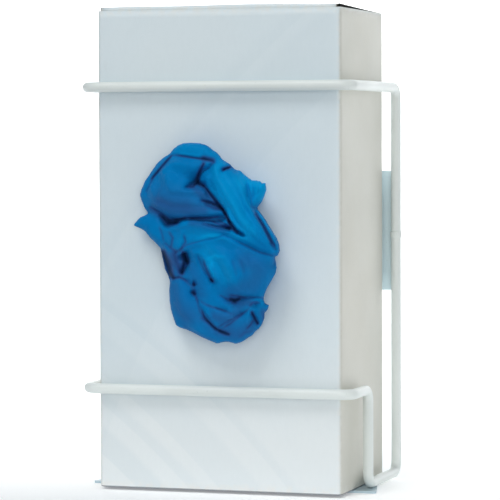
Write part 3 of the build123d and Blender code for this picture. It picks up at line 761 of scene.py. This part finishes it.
def sight_place(across, up, depth):
    """The point at a depth in front of the carton on the line of sight through (across, up) on its front."""
    near = np.stack([across, np.full_like(across, FRONT / MM), up + OPENING_Z / MM], axis=-1)
    eye = np.array(EYE) / MM
    share = (depth / (FRONT / MM - eye[1]))[..., None]
    return near + (eye - near) * share


def front_place(places):
    """Where the line of sight through each point meets the front plane: across and up, from the opening."""
    eye = np.array(EYE) / MM
    share = ((FRONT / MM - eye[1]) / (places[:, 1] - eye[1]))[:, None]
    met = eye + (places - eye) * share
    return met[:, 0], met[:, 2] - OPENING_Z / MM


def along(route, across, up):
    """Distance to a route, its value and arc length there, the side of it, and its whole length."""
    nearest = np.full(across.shape, 1e9)
    value, side, arc = np.zeros((3, *across.shape))
    run = 0.0
    for start, end in zip(route, route[1:]):
        step_x, step_z = end[0] - start[0], end[1] - start[1]
        length = math.hypot(step_x, step_z)
        share = ((across - start[0]) * step_x + (up - start[1]) * step_z) / length**2
        share = np.clip(share, 0, 1)
        away = np.hypot(across - start[0] - share * step_x, up - start[1] - share * step_z)
        closer = away < nearest
        nearest = np.where(closer, away, nearest)
        turn = (step_x * (up - start[1]) - step_z * (across - start[0])) / length
        side = np.where(closer, turn, side)
        arc = np.where(closer, run + share * length, arc)
        if len(start) > 2:
            value = np.where(closer, start[2] + share * (end[2] - start[2]), value)
        run += length
    return nearest, value, side, arc, run


def blended(routes, across, up):
    """The routes' heights, each weighted by its nearness, and the distance to the nearest."""
    total, weight = np.zeros((2, *across.shape))
    nearest = np.full(across.shape, 1e9)
    for route in routes.values():
        away, value, _, _, _ = along(route, across, up)
        share = 1 / (away + 0.3) ** 3
        total += share * value
        weight += share
        nearest = np.minimum(nearest, away)
    return total / weight, nearest


def inside_outline(outline, across, up):
    """True where a point lies inside the closed outline."""
    inside = np.zeros(across.shape, bool)
    for (x1, z1), (x2, z2) in zip(outline, outline[1:] + outline[:1]):
        if z1 == z2:
            continue
        crosses = (z1 > up) != (z2 > up)
        inside ^= crosses & (across < (x2 - x1) * (up - z1) / (z2 - z1) + x1)
    return inside


def nearest_on_outline(outline, across, up):
    """The nearest point of the closed outline to each point, and its distance."""
    best = np.full(across.shape, 1e9)
    best_x, best_z = np.zeros((2, *across.shape))
    for (x1, z1), (x2, z2) in zip(outline, outline[1:] + outline[:1]):
        step_x, step_z = x2 - x1, z2 - z1
        share = np.clip(((across - x1) * step_x + (up - z1) * step_z) / (step_x**2 + step_z**2 + 1e-9), 0, 1)
        px, pz = x1 + share * step_x, z1 + share * step_z
        away = np.hypot(across - px, up - pz)
        closer = away < best
        best = np.where(closer, away, best)
        best_x = np.where(closer, px, best_x)
        best_z = np.where(closer, pz, best_z)
    return best_x, best_z, best


def eased(value):
    """A smooth step from 0 to 1."""
    value = np.clip(value, 0, 1)
    return value * value * (3 - 2 * value)


def faded(arc, run, over):
    """1 along a route, easing to 0 at each end over a length."""
    return eased(np.minimum(arc, run - arc) / over)


def blurred(field, spread):
    """A Gaussian blur of a grid of numbers, its border numbers carried outward."""
    reach = math.ceil(3 * spread)
    steps = np.arange(-reach, reach + 1)
    weights = np.exp(-0.5 * (steps / spread) ** 2)
    weights /= weights.sum()
    for axis in (0, 1):
        width = [(reach, reach) if axis == side else (0, 0) for side in (0, 1)]
        padded = np.pad(field, width, mode="edge")
        field = np.apply_along_axis(np.convolve, axis, padded, weights, mode="valid")
    return field


class FilmField:
    """Depth of the folded film in front of the carton, on an even grid over its outline."""

    STEP = 0.4
    MARGIN = 3

    def __init__(self):
        self.low = np.min(OUTLINE, axis=0) - self.MARGIN
        high = np.max(OUTLINE, axis=0) + self.MARGIN
        across, up = np.meshgrid(*(np.arange(a, b, self.STEP) for a, b in zip(self.low, high)))
        crest, self.to_crest = blended(CRESTS, across, up)
        crease, self.to_crease = blended(CREASES, across, up)
        crest = blurred(crest, FOLD_BLUR / self.STEP)
        crease = blurred(crease, 0.7 * FOLD_BLUR / self.STEP)
        crease = np.minimum(crease + CREASE_LIFT * (crest - crease), crest)
        share = self.to_crease / (self.to_crest + self.to_crease + 1e-6)
        depth = crease + (crest - crease) * (1 - (1 - share) ** FOLD_ROUND)
        for route, height, reach, gut in LAPS:
            away, _, side, arc, run = along(route, across, up)
            fade = faded(arc, run, 3.0)
            over = 1 / (1 + np.exp(-np.clip(side / 0.3, -30, 30)))
            depth += height * fade * over * np.exp(-away / reach)
            depth -= 0.6 * height * fade * (1 - over) * np.exp(-((away / gut) ** 2))
        for route, height, width in LINES:
            away, _, _, arc, run = along(route, across, up)
            fade = faded(arc, run, 0.25 * run)
            depth += height * fade * np.exp(-((away / width) ** 2))
        self.depth = np.maximum(depth, THINNEST)

    def read(self, field, across, up):
        """Values of one of the grids at any points."""
        column = np.clip((across - self.low[0]) / self.STEP, 0, field.shape[1] - 1.001)
        row = np.clip((up - self.low[1]) / self.STEP, 0, field.shape[0] - 1.001)
        left, below = column.astype(int), row.astype(int)
        right, above = column - left, row - below
        low = field[below, left] * (1 - right) + field[below, left + 1] * right
        high = field[below + 1, left] * (1 - right) + field[below + 1, left + 1] * right
        return low * (1 - above) + high * above


class DISPENSER_OT_camera(Operator):
    """Places the camera a little right of the front, at the height of the upper half"""

    bl_idname = "dispenser.camera"
    bl_label = "Place Camera"

    def execute(self, context):
        data = bpy.data.cameras.new("Camera")
        data.sensor_width = 36.0
        data.lens = EYE_LENS
        data.clip_start = 0.05
        data.clip_end = 30.0
        turn, dip, roll = EYE_TURN, EYE_DIP, EYE_ROLL
        look = Vector((-math.sin(turn) * math.cos(dip), math.cos(turn) * math.cos(dip), -math.sin(dip)))
        level = Vector((math.cos(turn), math.sin(turn), 0))
        above = level.cross(look)
        right = math.cos(roll) * level + math.sin(roll) * above
        above = -math.sin(roll) * level + math.cos(roll) * above
        camera = bpy.data.objects.new("Camera", data)
        axes = Matrix((right, above, -look)).transposed()
        camera.matrix_world = Matrix.Translation(EYE) @ axes.to_4x4()
        context.scene.collection.objects.link(camera)
        context.scene.camera = camera
        return {"FINISHED"}


class DISPENSER_OT_stage(Operator):
    """Adds the pale floor sweep and the soft studio lights"""

    bl_idname = "dispenser.stage"
    bl_label = "Set Stage"

    def execute(self, context):
        settings = context.scene.dispenser_stage
        floor_z = BASE_LOW.z
        bm = bmesh.new()
        bmesh.ops.create_grid(bm, x_segments=1, y_segments=1, size=3.0)
        bmesh.ops.translate(bm, vec=(0, -0.6, floor_z), verts=bm.verts)
        rear = max(bm.edges, key=lambda edge: sum(v.co.y for v in edge.verts))
        hinge = Vector((0, 2.4, floor_z + 0.9))
        swept = bmesh.ops.spin(
            bm, geom=[rear], cent=hinge, axis=(1, 0, 0), dvec=(0, 0, 0), angle=math.pi / 2, steps=16,
        )
        edge = of_kind(swept["geom_last"], bmesh.types.BMEdge)
        raised = bmesh.ops.extrude_edge_only(bm, edges=edge)
        up = of_kind(raised["geom"], bmesh.types.BMVert)
        bmesh.ops.translate(bm, vec=(0, 0, 3.0), verts=up)
        bmesh.ops.recalc_face_normals(bm, faces=bm.faces)
        sweep = to_object(bm, "studio_sweep")
        sweep.data.materials.append(stage_material(settings))

        world = bpy.data.worlds.new("studio")
        world.use_nodes = True
        background = world.node_tree.nodes["Background"]
        background.inputs["Color"].default_value = (0.80, 0.92, 1.0, 1.0)
        background.inputs["Strength"].default_value = settings.sky_strength
        context.scene.world = world

        def softbox(name, power, size, place, target, colour):
            data = bpy.data.lights.new(name, "AREA")
            data.shape = "SQUARE"
            data.size = size
            data.energy = power
            data.color = colour
            light = bpy.data.objects.new(name, data)
            way = Vector(target) - Vector(place)
            turn = way.to_track_quat("-Z", "Y").to_matrix().to_4x4()
            light.matrix_world = Matrix.Translation(place) @ turn
            context.scene.collection.objects.link(light)

        white, warm = (1.0, 1.0, 1.0), (1.0, 0.93, 0.80)
        key, front, fill = settings.key_power, settings.front_power, settings.fill_power
        softbox("main_light", key, settings.key_size, (-0.6, -1.9, 3.1), (0, -0.09, 0), (1.0, 0.995, 0.985))
        softbox("front_light", front, 1.5, (0.85, -2.25, 0.42), (0, -0.1, -0.03), (1.0, 0.99, 0.96))
        softbox("side_light", fill, 1.2, (1.9, -0.5, 0.5), (0, -0.05, 0), warm)
        softbox("sweep_light", 40.0, 2.4, (0.0, 1.9, 2.4), (0, 3.6, 1.2), white)
        context.scene.view_settings.view_transform = "Standard"
        return {"FINISHED"}


class DISPENSER_OT_coating(Operator):
    """Gives the wire frame and the two plates their powder coating"""

    bl_idname = "dispenser.coating"
    bl_label = "Coat Wire and Plates"

    def execute(self, context):
        settings = context.scene.dispenser_coating
        # Painted light and shade: the back plate's coating is made brighter for the light on it, the base
        # plate's darker and bluer for the shade under the carton
        for node, painted_light_shade_cast in (
            ("wire_frame", (1, 1, 1)), ("back_plate", (0.98, 1.10, 1.16)), ("base_plate", (0.62, 0.74, 0.84)),
        ):
            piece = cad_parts[node]
            material = coating_material(settings, f"{node}_coating", painted_light_shade_cast)
            if not piece.material_slots:
                piece.data.materials.append(material)
            for place in piece.material_slots:
                place.material = material
        return {"FINISHED"}


class DISPENSER_OT_carton(Operator):
    """Folds the carton: panels, closed ends, torn-out oval and the bowed lid"""

    bl_idname = "dispenser.carton"
    bl_label = "Fold Carton"

    def execute(self, context):
        settings = context.scene.dispenser_carton
        coated = board_material(settings)
        raw = raw_board_material()
        sleeve = self.sleeve(settings)
        lid = self.lid(settings)
        for piece in (sleeve, lid):
            piece.data.materials.append(coated)
            piece.data.materials.append(raw)
            wall = piece.modifiers.new("board", "SOLIDIFY")
            wall.thickness = settings.board
            wall.offset = -1.0
            wall.use_even_offset = False
            wall.material_offset = 1
            wall.material_offset_rim = 1
            apply_modifiers(piece)
            shade_smooth(piece.data)
            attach(piece, "root")
        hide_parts("carton")
        inner = self.dust_flaps(settings)
        # The dust flaps take the almost black board: painted shade for the gap under the sides of the lid
        inner.data.materials.append(shaded_board_material())
        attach(inner, "root")
        return {"FINISHED"}

    def dust_flaps(self, settings):
        """The folded edges of the two inner flaps, in the dark under the sides of the lid."""
        depth = BACK - FRONT
        bm = bmesh.new()
        for side in (-1, 1):
            made = bmesh.ops.create_cube(bm, size=1.0)["verts"]
            bmesh.ops.scale(bm, vec=(settings.board, FLAP_LENGTH * depth, FLAP_HEIGHT), verts=made)
            middle = (side * (HALF_WIDTH - FLAP_INSET), FRONT + 0.5 * depth, PANEL_TOP - FLAP_HEIGHT / 2)
            bmesh.ops.translate(bm, vec=middle, verts=made)
        for i in range(1, FLAP_STEPS):
            cut(bm, 1, FRONT + depth * (0.5 - FLAP_LENGTH / 2 + FLAP_LENGTH * i / FLAP_STEPS))
        for vert in bm.verts:
            if vert.co.z > PANEL_TOP - 0.001:
                vert.co.z += FLAP_RISE * (1 - (vert.co.y - FRONT) / depth)
        bmesh.ops.recalc_face_normals(bm, faces=bm.faces)
        return to_object(bm, "carton_dust_flaps", smooth=False)

    def sleeve(self, settings):
        """The four panels and the closed bottom end, open at the top for the lid, with the oval torn out of
        the front.
        """
        bm = bmesh.new()
        bmesh.ops.create_cube(bm, size=1.0)
        depth = BACK - FRONT
        bmesh.ops.scale(bm, vec=(2 * HALF_WIDTH, depth, PANEL_HEIGHT), verts=bm.verts)
        bmesh.ops.translate(bm, vec=(0, (BACK + FRONT) / 2, FLOOR + PANEL_HEIGHT / 2), verts=bm.verts)
        upright = [e for e in bm.edges if abs(e.verts[0].co.z - e.verts[1].co.z) > PANEL_HEIGHT / 2]
        rounded = {"profile": 0.5, "affect": "EDGES", "material": -1}
        bmesh.ops.bevel(bm, geom=upright, offset=settings.fold_radius, segments=6, **rounded)
        ends = [e for e in bm.edges if abs(e.verts[0].co.z - e.verts[1].co.z) < 1e-6]
        bottom = [e for e in ends if e.verts[0].co.z < FLOOR + 1e-5]
        bmesh.ops.bevel(bm, geom=bottom, offset=BOTTOM_FOLD, segments=3, **rounded)
        top = [f for f in bm.faces if f.calc_center_median().z > PANEL_TOP - 1e-5]
        bmesh.ops.delete(bm, geom=top, context="FACES_ONLY")
        fold = settings.fold_radius
        for axis, low, high in (
            (2, FLOOR + BOTTOM_FOLD, PANEL_TOP),
            (0, -HALF_WIDTH + fold, HALF_WIDTH - fold),
            (1, FRONT + fold, BACK - fold),
        ):
            cut_evenly(bm, axis, low, high, round((high - low) / settings.cell))
        self.tear_oval(bm)
        self.bulge(bm, settings)
        bmesh.ops.recalc_face_normals(bm, faces=bm.faces)
        piece = to_object(bm, "carton_sleeve")
        self.mark_wear(piece.data)
        return piece

    def tear_oval(self, bm):
        """Takes the oval out of the front panel, with a slightly torn edge."""
        half_width = OVAL_HALF_WIDTH
        straight = OVAL_HALF_HEIGHT - half_width

        def reach(point):
            z = point.z - OPENING_Z
            z -= max(-straight, min(straight, z))
            return math.hypot(point.x, z)

        front = [f for f in bm.faces if f.calc_center_median().y < FRONT + ON_PANEL]
        gone = [f for f in front if reach(f.calc_center_median()) < half_width]
        bmesh.ops.delete(bm, geom=gone, context="FACES")
        for vert in bm.verts:
            if vert.co.y > FRONT + ON_PANEL or not vert.is_boundary or reach(vert.co) > half_width + 0.004:
                continue
            z = vert.co.z - OPENING_Z
            core = max(-straight, min(straight, z))
            away = Vector((vert.co.x, 0, z - core))
            if away.length < 1e-6:
                continue
            angle = math.atan2(away.z, away.x) + 40 * core
            rough = 0.00035 * math.sin(9 * angle) + 0.0002 * math.sin(23 * angle + 1)
            away *= (half_width + rough) / away.length
            vert.co.x = away.x
            vert.co.z = OPENING_Z + core + away.z

    def bulge(self, bm, settings):
        """Pushes the panels out a little between the folds, and less where the bars hold them."""
        for vert in bm.verts:
            x, y, z = vert.co
            height = (z - FLOOR) / PANEL_HEIGHT
            tall = math.sin(math.pi * min(max(height, 0), 1))
            held = min(1, *((abs(z - (FLOOR + bar)) / BAR_GRIP) ** 2 for bar in BAR_HEIGHTS))
            across = 1 - (x / HALF_WIDTH) ** 2
            middle = (y - (FRONT + BACK) / 2) / ((BACK - FRONT) / 2)
            wave = 0.25 * math.sin(70 * z + 25 * x) + 0.2 * math.sin(31 * z - 60 * x + 1)
            if y < FRONT + ON_PANEL:
                vert.co.y -= settings.bulge * (held * tall * across * (1 + wave) - 0.2 * across)
            elif y > BACK - ON_PANEL:
                vert.co.y += 0.5 * settings.bulge * tall * across
            elif abs(x) > HALF_WIDTH - ON_PANEL:
                way = math.copysign(1, x)
                vert.co.x += way * 2.2 * settings.bulge * tall * (1 - middle**2) * (1 + wave)

    def mark_wear(self, mesh):
        """Stores how near each point is to a fold, for the rubbed print there."""
        places = positions(mesh)
        to_side = HALF_WIDTH - np.abs(places[:, 0])
        to_front = np.minimum(places[:, 1] - FRONT, BACK - places[:, 1])
        to_end = np.minimum(places[:, 2] - FLOOR, PANEL_TOP - places[:, 2])
        distances = np.sort(np.stack([to_side, to_front, to_end]), axis=0)
        store(mesh, "fold_wear", eased(1 - distances[1] / FOLD_WEAR))

    def lid(self, settings):
        """The outer top flap: up from behind the front panel, over its bowed fold and back to the rear."""
        fold = LID_FOLD
        front_y, crest = FRONT + LID_SETBACK, PANEL_TOP + LID_RISE
        bm = bmesh.new()
        half = HALF_WIDTH - LID_INSET
        start = [bm.verts.new((side * half, front_y, PANEL_TOP - LID_TUCK)) for side in (-1, 1)]
        edge = bm.edges.new(start)

        def extrude(geom, vec):
            made = bmesh.ops.extrude_edge_only(bm, edges=geom)["geom"]
            verts = of_kind(made, bmesh.types.BMVert)
            bmesh.ops.translate(bm, vec=vec, verts=verts)
            edges = of_kind(made, bmesh.types.BMEdge)
            return [e for e in edges if len(e.link_faces) == 1 and all(v in verts for v in e.verts)]

        edge = extrude([edge], (0, 0, crest - fold - PANEL_TOP + LID_TUCK))
        turned = bmesh.ops.spin(
            bm, geom=edge, cent=(0, front_y + fold, crest - fold), axis=(-1, 0, 0), dvec=(0, 0, 0),
            angle=math.pi / 2, steps=6,
        )
        edge = of_kind(turned["geom_last"], bmesh.types.BMEdge)
        step = (BACK - LID_REAR - front_y - fold) / LID_STEPS
        for _ in range(LID_STEPS):
            edge = extrude(edge, (0, step, -LID_FALL / LID_STEPS))
        cut_evenly(bm, 0, -half, half, LID_COLUMNS)
        for vert in bm.verts:
            if vert.co.z > PANEL_TOP:
                share = (vert.co.z - PANEL_TOP) / LID_RISE
                bow = 0.0004 * (1 - (vert.co.x / half) ** 2) - 0.00025 + 0.00015 * math.sin(90 * vert.co.x)
                vert.co.z += bow * share
        bmesh.ops.recalc_face_normals(bm, faces=bm.faces)
        upper = max(bm.faces, key=lambda face: face.calc_center_median().z)
        if upper.normal.z < 0:
            bmesh.ops.reverse_faces(bm, faces=bm.faces)
        piece = to_object(bm, "carton_lid")
        self.mark_wear(piece.data)
        return piece


class DISPENSER_OT_glove_stack(Operator):
    """Stacks the folded gloves that are left in the carton"""

    bl_idname = "dispenser.glove_stack"
    bl_label = "Stack Gloves"

    def execute(self, context):
        settings = context.scene.dispenser_glove
        low, high = STACK_LOW, STACK_HIGH
        count = settings.stack_layers
        pitch = (high.y - low.y) / count
        bm = bmesh.new()
        for layer in range(count):
            made = bmesh.ops.create_cube(bm, size=1.0)["verts"]
            inset = 0.0008 + 0.0012 * (layer % 2)
            size = (high.x - low.x - 2 * inset, pitch * 0.94, high.z - low.z - 2 * inset)
            bmesh.ops.scale(bm, vec=size, verts=made)
            middle = (0, low.y + (layer + 0.5) * pitch, (low.z + high.z) / 2)
            bmesh.ops.translate(bm, vec=middle, verts=made)
            edges = list(dict.fromkeys(edge for vert in made for edge in vert.link_edges))
            bmesh.ops.bevel(
                bm, geom=edges, offset=pitch * 0.42, segments=3, profile=0.5, affect="EDGES", material=-1,
            )
        cut_evenly(bm, 0, low.x, high.x, 24)
        cut_evenly(bm, 2, low.z, high.z, 40)
        piece = to_object(bm, "glove_layers")
        places = positions(piece.data)
        wave = ripple(places * np.array([1, 6, 1]), (0.03, 0.06), 4)
        places[:, 1] += 0.00018 * wave
        places[:, 0] += 0.0004 * ripple(places, (0.025,), 6)
        places = np.clip(places, np.array(low), np.array(high))
        set_positions(piece.data, places)
        piece.data.materials.append(film_material(settings, "stacked_film", stored=False))
        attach(piece, "root")
        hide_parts("glove_stack")
        return {"FINISHED"}


class DISPENSER_OT_glove(Operator):
    """Folds the glove that is pulled out of the front and left crumpled"""

    bl_idname = "dispenser.glove"
    bl_label = "Fold Glove"

    def execute(self, context):
        settings = context.scene.dispenser_glove
        piece = self.crumple(settings)
        self.relax(piece)
        self.crinkle(piece.data)
        self.paint_fold_light(piece.data)
        shade_smooth(piece.data)
        film = film_material(settings)
        for part in (piece, self.neck()):
            part.data.materials.append(film)
            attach(part, "root")
        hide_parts("dispensed_glove")
        return {"FINISHED"}

    def crumple(self, settings):
        """Two nets over the outline, one folded, one near the carton, closed at the edge."""
        low_x, low_z = np.min(OUTLINE, axis=0)
        high_x, high_z = np.max(OUTLINE, axis=0)
        cell = settings.cell / MM
        bm = bmesh.new()
        columns = round((high_x - low_x) / cell) + 2
        rows = round((high_z - low_z) / cell) + 2
        bmesh.ops.create_grid(bm, x_segments=columns, y_segments=rows, size=0.5)
        scale = Vector((columns * cell, rows * cell, 1.0))
        bmesh.ops.scale(bm, vec=scale, verts=bm.verts)
        bmesh.ops.translate(bm, vec=((low_x + high_x) / 2, (low_z + high_z) / 2, 0), verts=bm.verts)
        flat = np.array([v.co[:2] for v in bm.verts])
        inside = inside_outline(OUTLINE, flat[:, 0], flat[:, 1])
        gone = [face for face in bm.faces if not any(inside[v.index] for v in face.verts)]
        bmesh.ops.delete(bm, geom=gone, context="FACES")
        bm.verts.index_update()
        flat = np.array([v.co[:2] for v in bm.verts])
        near_x, near_z, edge = nearest_on_outline(OUTLINE, flat[:, 0], flat[:, 1])
        border = np.array([v.is_boundary for v in bm.verts])
        flat[border, 0] = near_x[border]
        flat[border, 1] = near_z[border]
        edge = np.where(border, 0, edge)
        field = FilmField()
        depth = field.read(field.depth, flat[:, 0], flat[:, 1])
        turn = np.clip(edge / EDGE_TURN, 0, 1)
        rim = RIM_SHARE * depth
        outer = rim + (depth - rim) * np.sqrt(1 - (1 - turn) ** 2)
        lift = 1 - eased(edge / UNDERCUT)
        inner = BACK_GAP + (rim - BACK_GAP) * lift**1.5
        inner = np.minimum(inner, outer - 0.8)
        inner[border] = outer[border]
        outside = list(bm.verts)
        copy = bmesh.ops.duplicate(bm, geom=bm.verts[:] + bm.edges[:] + bm.faces[:])
        outer_place = sight_place(flat[:, 0], flat[:, 1], outer) * MM
        inner_place = sight_place(flat[:, 0], flat[:, 1], inner) * MM
        for vert, front, back in zip(outside, outer_place, inner_place):
            vert.co = front
            copy["vert_map"][vert].co = back
        bmesh.ops.remove_doubles(bm, verts=bm.verts, dist=1e-6)
        bmesh.ops.recalc_face_normals(bm, faces=bm.faces)
        return to_object(bm, "pulled_glove")

    def neck(self):
        """The gathered film that runs back through the oval to the gloves inside."""
        rear = STACK_LOW.y - NECK_GAP
        front = FRONT - NECK_REACH
        bm = bmesh.new()
        rim = bmesh.ops.create_circle(bm, cap_ends=True, segments=96, radius=1.0)["verts"]
        bmesh.ops.rotate(bm, cent=(0, 0, 0), matrix=Matrix.Rotation(math.pi / 2, 3, "X"), verts=rim)
        for vert in rim:
            angle = math.atan2(vert.co.z, vert.co.x)
            gather = 1 + 0.07 * math.sin(7 * angle) + 0.05 * math.sin(16 * angle + 1)
            wide, tall = NECK_HALF_WIDTH * gather, NECK_HALF_HEIGHT * gather
            vert.co = (wide * vert.co.x, front, OPENING_Z + tall * vert.co.z)
        ring = list(bm.edges)
        for step in range(1, NECK_STEPS + 1):
            made = bmesh.ops.extrude_edge_only(bm, edges=ring)["geom"]
            verts = of_kind(made, bmesh.types.BMVert)
            ring = [edge for edge in of_kind(made, bmesh.types.BMEdge) if len(edge.link_faces) == 1]
            bmesh.ops.translate(bm, vec=(0, (rear - front) / NECK_STEPS, 0), verts=verts)
            flare = 1 + 0.035 * math.cos(math.pi * (2 * step / NECK_STEPS - 1))
            bmesh.ops.scale(
                bm, vec=(flare, 1, flare), verts=verts, space=Matrix.Translation((0, 0, -OPENING_Z)),
            )
        bmesh.ops.contextual_create(bm, geom=ring)
        bmesh.ops.recalc_face_normals(bm, faces=bm.faces)
        piece = to_object(bm, "glove_neck")
        # Painted shade: the whole neck is coloured as film in shade
        store(piece.data, "painted_fold_light", np.full(len(piece.data.vertices), 0.6))
        return piece

    def relax(self, piece):
        """Evens out small steps in the folds."""
        bm = bmesh.new()
        bm.from_mesh(piece.data)
        bmesh.ops.smooth_vert(
            bm, verts=bm.verts, factor=0.5, use_axis_x=True, use_axis_y=True, use_axis_z=True,
        )
        bm.to_mesh(piece.data)
        bm.free()

    def crinkle(self, mesh):
        """Small pulls and puckers of thin film, along each point's normal."""
        places = positions(mesh)
        normals = np.empty(len(mesh.vertices) * 3)
        mesh.vertices.foreach_get("normal", normals)
        normals = normals.reshape(-1, 3)
        fine = ripple(places, (0.0045, 0.0075), 11)
        pull = ripple(places * np.array([1.0, 1.0, 2.2]), (0.014,), 12)
        height = 0.05 * fine * (0.5 + 0.5 * np.clip(pull, -1, 1)) + 0.14 * pull
        set_positions(mesh, places + normals * (height * MM)[:, None])

    def paint_fold_light(self, mesh):
        """Stores painted shade for the film's folds and creases, and painted highlights on its lit parts, for
        the film's colour.
        """
        places = positions(mesh) / MM
        across, up = front_place(places)
        light = np.ones(len(places))
        for route, strength in PAINTED_SHADE_AND_HIGHLIGHT:
            away, width, _, _, _ = along(route, across, up)
            light *= 1 - strength * np.exp(-((away / width) ** 2))
        field = FilmField()
        # Painted shade: a dark line along every crease of the fold field
        crease_shade = np.exp(-((field.read(field.to_crease, across, up) / 0.55) ** 2))
        light *= 1 - 0.35 * crease_shade
        # Painted shade along sunk lines, painted highlight along raised ones
        for route, height, width in LINES:
            away, _, _, arc, run = along(route, across, up)
            fade = faded(arc, run, 0.25 * run)
            tint = min(0.75, -0.6 * height) if height < 0 else -0.5 * height
            light *= 1 - tint * fade * np.exp(-((away / (width + 0.05)) ** 2))
        store(mesh, "painted_fold_light", 1 - light)


class DISPENSER_PT_pieces(Panel):
    """The dispenser's pieces, in the order in which they are made"""

    bl_idname = "DISPENSER_PT_pieces"
    bl_label = "Glove Dispenser"
    bl_space_type = "VIEW_3D"
    bl_region_type = "UI"
    bl_category = "Dispenser"

    def draw(self, context):
        layout = self.layout
        for step in STEPS:
            layout.operator(step.bl_idname)
        for name, group in GROUPS.items():
            settings = getattr(context.scene, name)
            box = layout.box()
            for key in group.__annotations__:
                box.prop(settings, key)


GROUPS = {
    "dispenser_stage": StageSettings,
    "dispenser_coating": CoatingSettings,
    "dispenser_carton": CartonSettings,
    "dispenser_glove": GloveSettings,
}
STEPS = (
    DISPENSER_OT_camera,
    DISPENSER_OT_stage,
    DISPENSER_OT_coating,
    DISPENSER_OT_carton,
    DISPENSER_OT_glove_stack,
    DISPENSER_OT_glove,
)


def register():
    for group in GROUPS.values():
        bpy.utils.register_class(group)
    for step in STEPS:
        bpy.utils.register_class(step)
    bpy.utils.register_class(DISPENSER_PT_pieces)
    for name, group in GROUPS.items():
        setattr(bpy.types.Scene, name, PointerProperty(type=group))


def unregister():
    for name in GROUPS:
        delattr(bpy.types.Scene, name)
    bpy.utils.unregister_class(DISPENSER_PT_pieces)
    for step in reversed(STEPS):
        bpy.utils.unregister_class(step)
    for group in reversed(list(GROUPS.values())):
        bpy.utils.unregister_class(group)


def main():
    register()
    bpy.ops.dispenser.camera()
    bpy.ops.dispenser.stage()
    bpy.ops.dispenser.coating()
    bpy.ops.dispenser.carton()
    bpy.ops.dispenser.glove_stack()
    bpy.ops.dispenser.glove()


if __name__ == "__main__":
    main()
